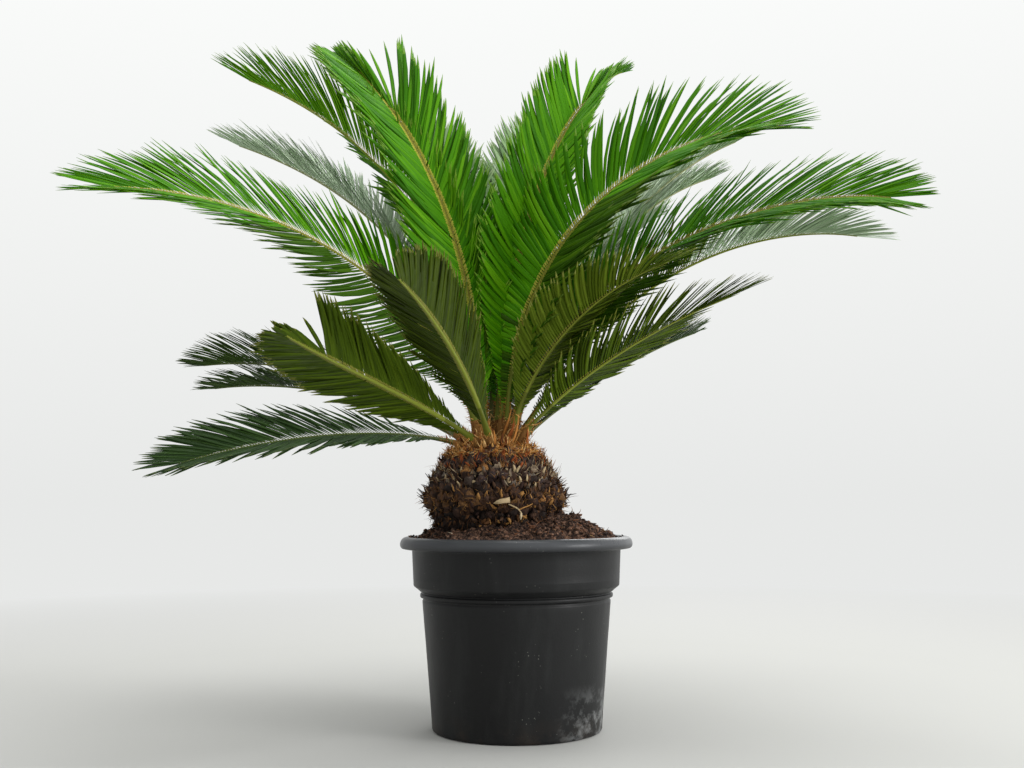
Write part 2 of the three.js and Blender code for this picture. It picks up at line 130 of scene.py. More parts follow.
def noise(p, freq, seed=0):
    """Smooth value noise from -1 to 1 at points p."""
    q = np.asarray(p, float) * freq
    f = np.floor(q)
    i = f.astype(np.int64)
    t = q - f
    t = t * t * (3 - 2 * t)
    out = 0.0
    for dx in (0, 1):
        for dy in (0, 1):
            for dz in (0, 1):
                w = ((t[..., 0] if dx else 1 - t[..., 0]) * (t[..., 1] if dy else 1 - t[..., 1])
                     * (t[..., 2] if dz else 1 - t[..., 2]))
                out = out + w * _hash(i[..., 0] + dx, i[..., 1] + dy, i[..., 2] + dz, seed)
    return out * 2 - 1


def fbm(p, freq, octaves=4, seed=0, gain=0.5):
    total, amp = 0.0, 1.0
    for o in range(octaves):
        total = total + amp * noise(p, freq * 2.0 ** o, seed + 17 * o)
        amp *= gain
    return total


class Heap:
    """Vertices and faces of one joined piece."""

    def __init__(self):
        self.v, self.q, self.t, self.qm, self.tm, self.n = [], [], [], [], [], 0

    def add(self, verts, quads=None, tris=None, qmat=0, tmat=0):
        verts = np.asarray(verts, float).reshape(-1, 3)
        if quads is not None and len(quads):
            quads = np.asarray(quads, np.int64).reshape(-1, 4)
            self.q.append(quads + self.n)
            self.qm.append(np.broadcast_to(np.asarray(qmat), (len(quads),)))
        if tris is not None and len(tris):
            tris = np.asarray(tris, np.int64).reshape(-1, 3)
            self.t.append(tris + self.n)
            self.tm.append(np.broadcast_to(np.asarray(tmat), (len(tris),)))
        self.v.append(verts)
        self.n += len(verts)

    def count(self):
        return 2 * sum(len(a) for a in self.q) + sum(len(a) for a in self.t)

    def build(self, name, mats, smooth=True):
        v = np.vstack(self.v)
        q = np.vstack(self.q) if self.q else np.zeros((0, 4), np.int64)
        t = np.vstack(self.t) if self.t else np.zeros((0, 3), np.int64)
        m = np.concatenate((self.qm if self.q else []) + (self.tm if self.t else [])).astype(np.int32)
        loops = np.concatenate([q.ravel(), t.ravel()]).astype(np.int32)
        starts = np.concatenate([np.arange(len(q)) * 4, len(q) * 4 + np.arange(len(t)) * 3]).astype(np.int32)
        me = bpy.data.meshes.new(name)
        me.vertices.add(len(v))
        me.vertices.foreach_set("co", v.astype(np.float32).ravel())
        me.loops.add(len(loops))
        me.loops.foreach_set("vertex_index", loops)
        me.polygons.add(len(starts))
        me.polygons.foreach_set("loop_start", starts)
        for mat in mats:
            me.materials.append(mat)
        me.polygons.foreach_set("material_index", m)
        me.polygons.foreach_set("use_smooth", np.full(len(starts), smooth))
        me.update(calc_edges=True)
        me.validate()
        ob = bpy.data.objects.new(name, me)
        bpy.context.scene.collection.objects.link(ob)
        return ob


def tubes(heap, centre, across, upward, section, mat_side, cap=True, tip=False, mats=None):
    """M lofts at once. centre (M,K,3), across and upward (M,K,3) already scaled, section (S,2)."""
    M, K, _ = centre.shape
    S = len(section)
    ring = (centre[:, :, None, :] + across[:, :, None, :] * section[None, None, :, 0:1]
            + upward[:, :, None, :] * section[None, None, :, 1:2])
    base = np.arange(M)[:, None, None] * (K * S)
    k = np.arange(K - 1)[None, :, None] * S
    s = np.arange(S)[None, None, :]
    s2 = (s + 1) % S
    quads = np.stack([base + k + s, base + k + s2, base + k + S + s2, base + k + S + s], -1)
    if mats is None:
        qm = np.broadcast_to(np.asarray(mat_side), (M, K - 1, S))
    else:
        qm = mats
    heap.add(ring.reshape(-1, 3), quads.reshape(-1, 4), None, qm.reshape(-1))
    if cap:
        # fans over both ends, from each end ring's first point
        fan = np.array([(0, i, i + 1) for i in range(1, S - 1)])
        first = np.arange(M)[:, None, None] * (K * S)
        low = first + fan[None][:, :, [0, 2, 1]]
        high = first + (K - 1) * S + fan[None]
        off = heap.n - M * K * S
        heap.t.append((low.reshape(-1, 3) + off))
        heap.t.append((high.reshape(-1, 3) + off))
        m0 = qm[:, 0, 0][:, None] * np.ones(len(fan), np.int64)
        m1 = qm[:, -1, 0][:, None] * np.ones(len(fan), np.int64)
        heap.tm.append(m0.reshape(-1))
        heap.tm.append(m1.reshape(-1))


def strands(heap, p0, d0, length, radius, curl, rng, mats, K=5, sides=3, taper=0.15):
    """Many thin curved fibres."""
    M = len(p0)
    d = unit(d0)
    c = rng.normal(size=(M, 3)) * np.asarray(curl).reshape(-1, 1)
    pts, dirs = [np.array(p0, float)], [d]
    L = np.asarray(length).reshape(-1, 1)
    for k in range(1, K):
        d = unit(d + c * (1.0 / (K - 1)) + rng.normal(size=(M, 3)) * 0.06)
        pts.append(pts[-1] + d * L / (K - 1))
        dirs.append(d)
    C = np.stack(pts, 1)
    D = np.stack(dirs, 1)
    ref = unit(rng.normal(size=(M, 1, 3)))
    A = unit(np.cross(D, np.broadcast_to(ref, D.shape)))
    U = np.cross(D, A)
    s = np.linspace(0, 1, K)[None, :, None]
    r = np.asarray(radius).reshape(-1, 1, 1) * (1 - (1 - taper) * s ** 1.3)
    a = -np.arange(sides) * 2 * math.pi / sides
    section = np.stack([np.cos(a), np.sin(a)], -1)
    m = np.broadcast_to(np.asarray(mats).reshape(-1, 1, 1), (M, K - 1, sides))
    tubes(heap, C, A * r, U * r, section, 0, True, False, m)


# --------------------------------------------------------------- materials
def srgb(r, g, b):
    def lin(c):
        c /= 255.0
        return c / 12.92 if c <= 0.04045 else ((c + 0.055) / 1.055) ** 2.4
    return (lin(r), lin(g), lin(b), 1.0)


def principled(name, rgb, rough=0.5, spec=0.5, coat=0.0, coat_rough=0.2, sheen=0.0, sss=0.0, sss_radius=None):
    mat = bpy.data.materials.new(name)
    mat.use_nodes = True
    b = mat.node_tree.nodes["Principled BSDF"]
    b.inputs["Base Color"].default_value = srgb(*rgb)
    b.inputs["Roughness"].default_value = rough
    b.inputs["Specular IOR Level"].default_value = spec
    b.inputs["Coat Weight"].default_value = coat
    b.inputs["Coat Roughness"].default_value = coat_rough
    b.inputs["Sheen Weight"].default_value = sheen
    if sss:
        b.inputs["Subsurface Weight"].default_value = sss
        b.inputs["Subsurface Radius"].default_value = sss_radius or (0.6, 1.0, 0.15)
        b.inputs["Subsurface Scale"].default_value = 0.004
    return mat


def textured(name, stops, scale=60.0, detail=6.0, rough=(0.7, 0.95), bump=0.4, bump_scale=300.0, bump_dist=0.001,
             stretch=(1, 1, 1), distort=0.3, spec=0.3, sheen=0.0):
    """Principled with a noise-driven colour ramp, roughness and bump, in object space."""
    mat = bpy.data.materials.new(name)
    mat.use_nodes = True
    nt = mat.node_tree
    b = nt.nodes["Principled BSDF"]
    tc = nt.nodes.new("ShaderNodeTexCoord")
    mp = nt.nodes.new("ShaderNodeMapping")
    mp.inputs["Scale"].default_value = stretch
    nt.links.new(tc.outputs["Object"], mp.inputs["Vector"])
    n1 = nt.nodes.new("ShaderNodeTexNoise")
    n1.inputs["Scale"].default_value = scale
    n1.inputs["Detail"].default_value = detail
    n1.inputs["Roughness"].default_value = 0.62
    n1.inputs["Distortion"].default_value = distort
    nt.links.new(mp.outputs["Vector"], n1.inputs["Vector"])
    ramp = nt.nodes.new("ShaderNodeValToRGB")
    el = ramp.color_ramp.elements
    while len(el) > 1:
        el.remove(el[-1])
    el[0].position, el[0].color = stops[0][0], srgb(*stops[0][1])
    for pos, rgb in stops[1:]:
        e = el.new(pos)
        e.color = srgb(*rgb)
    nt.links.new(n1.outputs["Fac"], ramp.inputs["Fac"])
    nt.links.new(ramp.outputs["Color"], b.inputs["Base Color"])
    mr = nt.nodes.new("ShaderNodeMapRange")
    mr.inputs["To Min"].default_value, mr.inputs["To Max"].default_value = rough
    nt.links.new(n1.outputs["Fac"], mr.inputs["Value"])
    nt.links.new(mr.outputs["Result"], b.inputs["Roughness"])
    if bump:
        n2 = nt.nodes.new("ShaderNodeTexNoise")
        n2.inputs["Scale"].default_value = bump_scale
        n2.inputs["Detail"].default_value = 4.0
        nt.links.new(mp.outputs["Vector"], n2.inputs["Vector"])
        bp = nt.nodes.new("ShaderNodeBump")
        bp.inputs["Strength"].default_value = bump
        bp.inputs["Distance"].default_value = bump_dist
        nt.links.new(n2.outputs["Fac"], bp.inputs["Height"])
        nt.links.new(bp.outputs["Normal"], b.inputs["Normal"])
    b.inputs["Specular IOR Level"].default_value = spec
    b.inputs["Sheen Weight"].default_value = sheen
    return mat


# leaf palettes: four tints for the top face, three for the underside, then the
# pale leaflet foot and the leaflet tip
LEAF = {
    "young": dict(top=[(68, 130, 4), (80, 142, 6), (54, 112, 4), (94, 154, 14)],
                  under=[(64, 122, 6), (76, 134, 10), (54, 106, 6)], foot=(170, 168, 62), tip=(98, 142, 24),
                  rough=0.48, spec=0.07),
    # brighter tints, the undersides most: painted backlight, light shining through leaflets seen from below
    "painted_backlight": dict(top=[(82, 146, 8), (94, 156, 14), (68, 128, 6), (108, 166, 26)],
                  under=[(92, 152, 16), (106, 164, 26), (78, 136, 12)], foot=(180, 180, 80), tip=(126, 164, 48),
                  rough=0.48, spec=0.07),
    "olive": dict(top=[(60, 80, 8), (70, 90, 10), (50, 70, 6), (82, 102, 16)],
                  under=[(64, 84, 8), (74, 94, 12), (54, 72, 6)], foot=(128, 128, 46), tip=(104, 110, 34),
                  rough=0.46, spec=0.08),
    "dark": dict(top=[(42, 66, 26), (50, 76, 30), (36, 58, 24), (60, 86, 40)],
                 under=[(52, 74, 26), (60, 84, 30), (44, 64, 24)], foot=(84, 96, 44), tip=(76, 92, 48),
                 rough=0.44, spec=0.12),
    # pale top tints: painted sheen, the bright sky's reflection on glossy upper faces; the undersides keep their own
    # green
    "painted_sheen_tops": dict(top=[(178, 198, 168), (192, 210, 182), (160, 184, 152), (206, 220, 196)],
                   under=[(84, 114, 58), (96, 126, 68), (72, 100, 48)], foot=(168, 176, 128),
                   tip=(168, 182, 150), rough=0.44, spec=0.2),
    # pale on both faces: painted sheen on the tops and on the undersides
    "painted_sheen_both": dict(top=[(168, 188, 158), (184, 202, 174), (150, 174, 140), (198, 212, 188)],
                 under=[(166, 188, 154), (180, 200, 168), (150, 174, 138)], foot=(168, 176, 128),
                 tip=(188, 200, 176), rough=0.48, spec=0.12),
    # paler top tints: a softer painted sheen; the undersides keep their own green
    "painted_sheen_soft": dict(top=[(122, 154, 100), (134, 164, 112), (108, 142, 88), (146, 174, 126)],
                  under=[(64, 108, 30), (74, 118, 36), (56, 98, 26)], foot=(168, 172, 104), tip=(140, 164, 112),
                  rough=0.46, spec=0.14),
    # a darker copy of olive: painted shade
    "painted_shade_olive": dict(top=[(50, 66, 5), (58, 75, 7), (42, 58, 5), (70, 87, 12)],
                 under=[(54, 70, 6), (62, 78, 9), (46, 60, 5)], foot=(128, 128, 46), tip=(96, 102, 28),
                 rough=0.46, spec=0.08),
    "fair": dict(top=[(92, 112, 26), (104, 124, 34), (78, 98, 20), (114, 134, 46)],
                 under=[(94, 114, 26), (106, 126, 34), (80, 100, 20)], foot=(146, 146, 62), tip=(128, 136, 56),
                 rough=0.46, spec=0.08),
    "shade": dict(top=[(50, 84, 6), (60, 94, 8), (42, 72, 6), (72, 106, 14)],
                  under=[(56, 86, 8), (64, 96, 10), (46, 74, 6)], foot=(140, 136, 52), tip=(84, 108, 26),
                  rough=0.48, spec=0.07),
}
KINDS = list(LEAF)


def leafy(name, rgb, rough, spec, grain=900.0):
    """One plain tint whose gloss and fine surface come from noise."""
    mat = principled(name, rgb, rough, spec)
    nt = mat.node_tree
    b = nt.nodes["Principled BSDF"]
    tc = nt.nodes.new("ShaderNodeTexCoord")
    wide = nt.nodes.new("ShaderNodeTexNoise")
    wide.inputs["Scale"].default_value = 70.0
    wide.inputs["Detail"].default_value = 2.0
    nt.links.new(tc.outputs["Object"], wide.inputs["Vector"])
    mr = nt.nodes.new("ShaderNodeMapRange")
    mr.inputs["From Min"].default_value, mr.inputs["From Max"].default_value = 0.3, 0.7
    mr.inputs["To Min"].default_value, mr.inputs["To Max"].default_value = rough - 0.07, rough + 0.12
    nt.links.new(wide.outputs["Fac"], mr.inputs["Value"])
    nt.links.new(mr.outputs["Result"], b.inputs["Roughness"])
    fine = nt.nodes.new("ShaderNodeTexNoise")
    fine.inputs["Scale"].default_value = grain
    fine.inputs["Detail"].default_value = 2.0
    nt.links.new(tc.outputs["Object"], fine.inputs["Vector"])
    bump = nt.nodes.new("ShaderNodeBump")
    bump.inputs["Strength"].default_value = 0.25
    bump.inputs["Distance"].default_value = 0.0003
    nt.links.new(fine.outputs["Fac"], bump.inputs["Height"])
    nt.links.new(bump.outputs["Normal"], b.inputs["Normal"])
    return mat


leaf_mats = []
for kind, c in LEAF.items():
    leaf_mats += [leafy(f"leaf_{kind}_top_{i}", rgb, c["rough"], c["spec"]) for i, rgb in enumerate(c["top"])]
    leaf_mats += [leafy(f"leaf_{kind}_under_{i}", rgb, c["rough"] + 0.12, c["spec"] * 0.8)
                  for i, rgb in enumerate(c["under"])]
    leaf_mats += [leafy(f"leaf_{kind}_foot", c["foot"], 0.55, 0.2), leafy(f"leaf_{kind}_tip", c["tip"], 0.5, 0.2)]


# ------------------------------------------------------------- frond curve
def frond(row):
    (name, ring, bearing, rise, droop, power, side, length, roll0, roll_mid, roll1, leaflet,
     spread0, spread1, keel0, keel1, split, kind) = row
    t = np.linspace(0, 1, STEPS + 1)
    el = np.radians(rise - droop * t ** power)
    az = np.radians(bearing + side * t ** 1.5)
    T = np.stack([np.cos(el) * np.cos(az), np.cos(el) * np.sin(az), np.sin(el)], -1)
    r = 0.018 + 0.052 * math.cos(math.radians(rise))
    p0 = np.array([CROWN_X + r * math.cos(math.radians(ring)), r * math.sin(math.radians(ring)),
                   0.452 + 0.038 * math.sin(math.radians(rise))])
    L = length / 1000.0
    P = np.vstack([p0, p0 + np.cumsum((T[1:] + T[:-1]) * 0.5 * L / STEPS, 0)])
    Z = np.array([0, 0, 1.0])
    U = unit(Z - (T @ Z)[:, None] * T)
    A = np.cross(T, U)
    roll = np.radians(np.interp(t, [0, 0.5, 1], [roll0, roll_mid, roll1]))[:, None]
    N = np.cos(roll) * U + np.sin(roll) * A
    B = -np.sin(roll) * U + np.cos(roll) * A
    nodes = [name + "_lower", name + "_upper"] if split else [name]
    return dict(name=name, t=t, P=P, T=T, N=N, B=B, L=L, leaflet=leaflet / 1000.0, kind=kind,
                spread=(spread0, spread1), keel=(keel0, keel1),
                nodes=nodes, girth=(L / 0.8) ** 0.5)


def at(f, key, s):
    a = f[key]
    x = np.clip(s, 0, 1) * STEPS
    i = np.minimum(x.astype(int), STEPS - 1)
    w = (x - i)[:, None]
    return a[i] * (1 - w) + a[i + 1] * w


fronds = [frond(r) for r in FRONDS]

# leaflet section: rolled margins, a shallow groove above, the midrib below
SECTION = np.array([(-1.0, -0.55), (-0.55, 0.45), (0.0, 0.10), (0.55, 0.45), (1.0, -0.55), (0.0, -0.75)])
RINGS = np.array([0.0, 0.045, 0.20, 0.45, 0.70, 0.89, 1.0])
WIDTH = np.interp(RINGS, [0, 0.05, 0.14, 0.28, 0.6, 0.75, 0.88, 0.95, 1.0],
                  [0.34, 0.50, 0.84, 1.0, 1.0, 0.88, 0.58, 0.32, 0.04])
PITCH_M = 0.0046          # distance between leaflets along one side


# where along a frond its leaflets are of another kind than the frond's own:
# side (0 for both), from, to, kind
ZONES = {
    "frond_far_left": [(1, 0.0, 0.26, "shade"), (-1, 0.0, 0.62, "shade")],
    "frond_upper_right": [(-1, 0.0, 0.16, "shade"), (1, 0.0, 0.60, "shade")],
    "frond_far_right": [(-1, 0.0, 0.22, "shade"), (1, 0.0, 0.52, "shade")],
    # the outer leaflets here and on frond_back_left: pale on both faces, painted sheen
    "frond_right_under": [(0, 0.60, 1.1, "painted_sheen_both")],
    "frond_top_left": [(0, 0.0, 0.22, "shade")],
    "frond_back_left": [(0, 0.28, 1.1, "painted_sheen_both")],
    # the outer leaflets of these two fronds: softer painted sheen on their tops
    "frond_back_a": [(0, 0.40, 1.1, "painted_sheen_soft")],
    "frond_back_b": [(0, 0.40, 1.1, "painted_sheen_soft")],
}
# frond_front_mid takes the darker olive with painted shade
# frond_top_left takes the palette with painted backlight
OWN = {"frond_top_left": "painted_backlight", "frond_front_mid": "painted_shade_olive", "frond_front_right": "fair"}
# rows of leaflets that lie closer to the rib, or stand off further, than their
# frond's spread says: side, places along the frond, factor there
FOLDS = {
    "frond_upper_left": [(1, (0.3, 0.50, 0.735, 0.745), (0.90, 0.84, 0.78, 0.14))],
    "frond_top_right": [(1, (0.0, 1.0), (0.62, 0.35)), (-1, (0.3, 0.45, 0.755, 0.765), (1.0, 1.0, 1.22, 0.16))],
    "frond_far_left": [(-1, (0.50, 0.80), (1.62, 0.8)), (1, (0.40, 0.58, 0.85, 1.0), (1.0, 1.28, 1.36, 1.1))],
    "frond_upper_right": [(-1, (0.30, 0.48, 0.82, 1.0), (1.0, 1.16, 1.22, 1.0))],
    "frond_front_left": [(-1, (0.40, 0.60, 0.755, 0.765), (1.0, 1.22, 1.42, 0.25))],
}
# rows of leaflets longer than their neighbours: side, places along the frond, factor there
REACH = {
    "frond_upper_left": (1, (0.55, 0.68, 0.735, 0.745), (1.0, 1.10, 1.14, 1.0)),
    "frond_upper_right": (-1, (0.40, 0.60, 0.90, 1.0), (1.0, 1.07, 1.07, 1.0)),
}
# fronds with broader or narrower leaflets than the rest
BROAD = {"frond_upper_right": 1.20, "frond_upper_left": 1.08, "frond_top_right": 1.12, "frond_far_left": 0.90,
         "frond_right_under": 0.70, "frond_back_left": 0.74, "frond_far_right": 0.80, "frond_left_mid": 0.7,
         "frond_left_under": 0.7, "frond_back_right_high": 0.85, "frond_back_right_mid": 0.85}
SLIM = {("frond_far_left", -1): 0.74, ("frond_far_right", 1): 0.85}


def kinds_along(f, side, s, rng):
    own = KINDS.index(f["kind"])
    out = np.full(len(s), own)
    if f["name"] in OWN:
        out[:] = KINDS.index(OWN[f["name"]])
    x = s + 0.035 * rng.normal(size=len(s))
    for zone_side, lo, hi, kind in ZONES.get(f["name"], []):
        if zone_side in (0, side):
            out[(x >= lo) & (x < hi)] = KINDS.index(kind)
    return out


def leaflets(heap, f, rng):
    n = int(f["L"] * 0.945 / PITCH_M)
    for side in (-1, 1):
        s = 0.055 + 0.945 * (np.arange(n) + 0.5 * (side > 0)) / n + rng.normal(size=n) * 0.0006
        s = np.clip(s, 0.05, 0.998)
        keep = rng.random(n) > 0.012
        s = s[keep]
        M = len(s)
        wave = np.convolve(rng.normal(size=M + 8), np.ones(5) / 5, "same")[4:4 + M]
        fine = rng.normal(size=M)
        P, T, N, B = (at(f, k, s) for k in "PTNB")
        T, N = unit(T), unit(N)
        spread = f["spread"][0] + (f["spread"][1] - f["spread"][0]) * s
        keel = f["keel"][0] + (f["keel"][1] - f["keel"][0]) * s
        for fold_side, where, factor in FOLDS.get(f["name"], []):
            if fold_side == side:
                spread = spread * np.interp(s, where, factor)
        a = np.radians(np.interp(s, *ANGLE_AT) * spread + 3.4 * wave + 1.1 * fine)[:, None]
        k = np.radians(keel + 5.0 * np.roll(wave, 3) + 1.8 * rng.normal(size=M))[:, None]
        l = (f["leaflet"] * np.interp(s, *LENGTH_AT) * (1 + 0.035 * rng.normal(size=M)))[:, None]
        if side == REACH.get(f["name"], (0,))[0]:
            l = l * np.interp(s, *REACH[f["name"]][1:])[:, None]
        row = side * np.cos(k) * B + np.sin(k) * N
        d = unit(np.cos(a) * T + np.sin(a) * row)
        half_rib = np.interp(s, *RIB_AT)[:, None] * f["girth"]
        p = P + side * B * half_rib * 0.75 + N * half_rib * 0.35
        # face of the blade, turned a little about its own length
        n0 = unit(np.cross(d, T) * side)
        n0 = np.where((n0 * N).sum(-1, keepdims=True) < 0, -n0, n0)
        tw = np.radians(13 + 6 * rng.normal(size=M))[:, None] * side
        n0 = unit(n0 * np.cos(tw) + np.cross(d, n0) * np.sin(tw))
        bend = (0.40 + 0.10 * rng.normal(size=M))[:, None]
        sag = (0.05 + 0.04 * rng.random(M))[:, None] * (l / 0.15)
        lift = 0.10 * rng.normal(size=M)[:, None]
        C, D = [p], [d]
        sub = 6
        cur = p.copy()
        for i in range(1, len(RINGS)):
            for j in range(sub):
                u = RINGS[i - 1] + (RINGS[i] - RINGS[i - 1]) * (j + 0.5) / sub
                dd = unit(d + bend * u ** 1.6 * T + (lift * u ** 1.5) * n0 - np.array([0, 0, 1.0]) * sag * u ** 2)
                cur = cur + dd * l * (RINGS[i] - RINGS[i - 1]) / sub
            C.append(cur)
            D.append(dd)
        C, D = np.stack(C, 1), np.stack(D, 1)
        nn = np.broadcast_to(n0[:, None, :], D.shape)
        W = unit(np.cross(nn, D))
        U = np.cross(D, W)
        size = np.interp(s, [0.05, 0.12, 0.25, 0.8, 1.0], [0.35, 0.62, 1.0, 0.95, 0.62])
        slim = SLIM.get((f["name"], side), 1.0)
        hw = (0.0036 * BROAD.get(f["name"], 1.0) * slim * (1 + 0.07 * rng.normal(size=M)) * size * (0.9 + 0.1 * f["leaflet"] / 0.15))
        hw = hw[:, None, None] * WIDTH[None, :, None]
        th = 0.00055 * (0.35 + 0.65 * WIDTH)[None, :, None] * np.ones((M, 1, 1))
        K, S = len(RINGS), len(SECTION)
        kinds = 9 * kinds_along(f, side, s, rng)
        top = kinds + rng.choice(4, size=M, p=[0.36, 0.26, 0.26, 0.12])
        und = kinds + 4 + rng.choice(3, size=M, p=[0.45, 0.3, 0.25])
        mm = np.zeros((M, K - 1, S), np.int64)
        mm[:, :, :4] = top[:, None, None]
        mm[:, :, 4:] = und[:, None, None]
        mm[:, 0, :] = (kinds + 7)[:, None]
        mm[:, K - 2:, :] = (kinds + 8)[:, None, None]
        tubes(heap, C, W * hw, U * th, SECTION, 0, True, False, mm)


groups = {}
for kind in ("young", "olive", "dark", "painted_sheen_tops"):
    heap, members, index = Heap(), [], 1
    for f in [x for x in fronds if x["kind"] == kind]:
        rng = np.random.default_rng(1000 + [g["name"] for g in fronds].index(f["name"]))
        before = heap.count()
        leaflets(heap, f, rng)
        members.append(f)
        if heap.count() > 165000:
            groups[f"leaflets_{kind}_{index}"] = (kind, heap, members)
            heap, members, index = Heap(), [], index + 1
    if members:
        groups[f"leaflets_{kind}_{index}"] = (kind, heap, members)
for name, (kind, heap, members) in groups.items():
    ob = heap.build(name, leaf_mats)
    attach(ob, BODY)
    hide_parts(*[n for f in members for n in f["nodes"]])
    print(name, heap.count())

# --------------------------------------------------------------------- ribs
rib_mats = [leafy("rib_young", (132, 144, 40), 0.5, 0.15), leafy("rib_olive", (126, 136, 46), 0.5, 0.16),
            # the pale grey-green rib tint for the fronds with sheen-painted tops is painted sheen as well
            leafy("rib_dark", (80, 94, 42), 0.5, 0.12), leafy("rib_silver", (140, 146, 100), 0.45, 0.3),
            leafy("stalk_olive", (98, 106, 34), 0.5, 0.16), leafy("stalk_dark", (84, 90, 38), 0.5, 0.3),
            leafy("stalk_foot", (128, 92, 50), 0.85, 0.1), leafy("rib_young_top", (112, 106, 38), 0.6, 0.15),
            leafy("spine", (178, 128, 62), 0.55, 0.2)]
RIB_OF = {"young": 0, "olive": 1, "dark": 2, "painted_sheen_tops": 3}
ribs = Heap()
rng = np.random.default_rng(77)
a = -np.arange(10) * 2 * math.pi / 10 + math.pi / 2
rib_section = np.stack([np.cos(a), np.where(np.sin(a) > 0, 0.62, 0.95) * np.sin(a)], -1)
for f in fronds:
    s = np.concatenate([np.linspace(0, 0.16, 12)[:-1], np.linspace(0.16, 1.0, 46)])
    P, T, N, B = (at(f, k, s) for k in "PTNB")
    # the foot goes on down into the wool, bending upright
    feet, ahead, q = [], T[0], P[0]
    for step in range(3):
        ahead = unit(ahead * 0.72 + np.array([0, 0, 1.0]) * 0.28)
        q = q - ahead * 0.012
        feet.insert(0, (q, ahead))
    P = np.vstack([[p for p, _ in feet], P])
    B = np.vstack([B[:1]] * 3 + [B])
    N = np.vstack([[unit(np.cross(B[0], d) * (1 if np.cross(B[0], T[0]) @ N[0] > 0 else -1)) for _, d in feet], N])
    T = np.vstack([[d for _, d in feet], T])
    s = np.concatenate([[-0.045, -0.03, -0.015], s])
    r = np.interp(s, *RIB_AT) * f["girth"] * np.interp(s, [-0.045, -0.01, 0.01, 0.03], [1.45, 1.3, 1.12, 1.0])
    kind = f["kind"]
    if kind == "young":
        r = r * np.interp(s, [0.1, 0.3, 1.0], [1.0, 0.80, 0.80])
    mm = np.full((1, len(s) - 1, 10), RIB_OF[kind])
    mid = (s[1:] + s[:-1]) / 2
    mm[0, mid < 0.16, :] = 4
    mm[0, mid < 0.012, :] = 6
    if kind == "young":
        mm[0, mid > 0.16, 0:1] = 7
        mm[0, mid > 0.16, 9:10] = 7
    if kind in ("dark", "painted_sheen_tops"):
        mm[0, (mid < 0.16) & (mid >= 0.012), :] = 5
    tubes(ribs, P[None], (B * r[:, None])[None], (N * r[:, None])[None], rib_section, 0, True, False, mm)
    # short stiff spines on the stalk, below the first leaflets
    n = 13
    for side in (-1, 1):
        q = np.linspace(0.014, 0.062, n) + rng.normal(size=n) * 0.001
        P, T, N, B = (at(f, k, q) for k in "PTNB")
        hr = np.interp(q, *RIB_AT)[:, None] * f["girth"]
        strands(ribs, P + side * B * hr * 0.8 + N * hr * 0.2, side * B + 0.55 * T + 0.25 * N,
                np.linspace(0.0035, 0.008, n), np.full(n, 0.0008), 0.15, rng, np.full(n, 8), K=3, sides=4)
ob = ribs.build("ribs", rib_mats)
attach(ob, BODY)
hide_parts(*[n for f in fronds for n in f["nodes"]])
print("ribs", ribs.count())


# -------------------------------------------------------------------- trunk
STEM_X, STEM_BASE, LEAN = -0.033, 0.314, -0.004
STEM = np.array([(298, 100), (314, 100), (326, 101), (338, 103), (348, 108), (358, 115), (367, 118), (377, 116), (388, 110.5),
                 (400, 105.5), (412, 101), (422, 94), (432, 86), (440, 78), (446, 73), (452, 69)]) / 1000.0


def stem_r(z):
    return np.interp(z, STEM[:, 0], STEM[:, 1])


def stem_x(z):
    return STEM_X + LEAN * (z - STEM_BASE) / 0.131


def on_stem(z, ang, lift=0.0):
    r = stem_r(z) + lift
    return np.stack([stem_x(z) + r * np.cos(ang), r * np.sin(ang), z], -1)


def outward(ang):
    return np.stack([np.cos(ang), np.sin(ang), 0 * ang], -1)


# core under the armour, dark and broken
trunk = Heap()
rng = np.random.default_rng(31)
NZ, NA = 56, 150
zz = np.linspace(0.300, 0.4454, NZ)
aa = np.arange(NA) * 2 * math.pi / NA
Zg, Ag = np.meshgrid(zz, aa, indexing="ij")
core = np.stack([np.cos(Ag) * 0.1, np.sin(Ag) * 0.1, Zg], -1)
R = stem_r(Zg) - 0.0125 + 0.0035 * fbm(core, 60, 3, 3) + 0.0018 * noise(core, 300, 9)
V = np.stack([stem_x(Zg) + R * np.cos(Ag), R * np.sin(Ag), Zg], -1).reshape(-1, 3)
i, j = np.meshgrid(np.arange(NZ - 1), np.arange(NA), indexing="ij")
j2 = (j + 1) % NA
quads = np.stack([i * NA + j, i * NA + j2, (i + 1) * NA + j2, (i + 1) * NA + j], -1).reshape(-1, 4)
V = np.vstack([V, [[STEM_X, 0, 0.300]], [[STEM_X + LEAN, 0, 0.4454]]])
j = np.arange(NA)
caps = np.vstack([np.stack([(j + 1) % NA, j, np.full(NA, NZ * NA)], -1),
                  np.stack([(NZ - 1) * NA + j, (NZ - 1) * NA + (j + 1) % NA, np.full(NA, NZ * NA + 1)], -1)])
trunk.add(V, quads, caps, 0, 0)

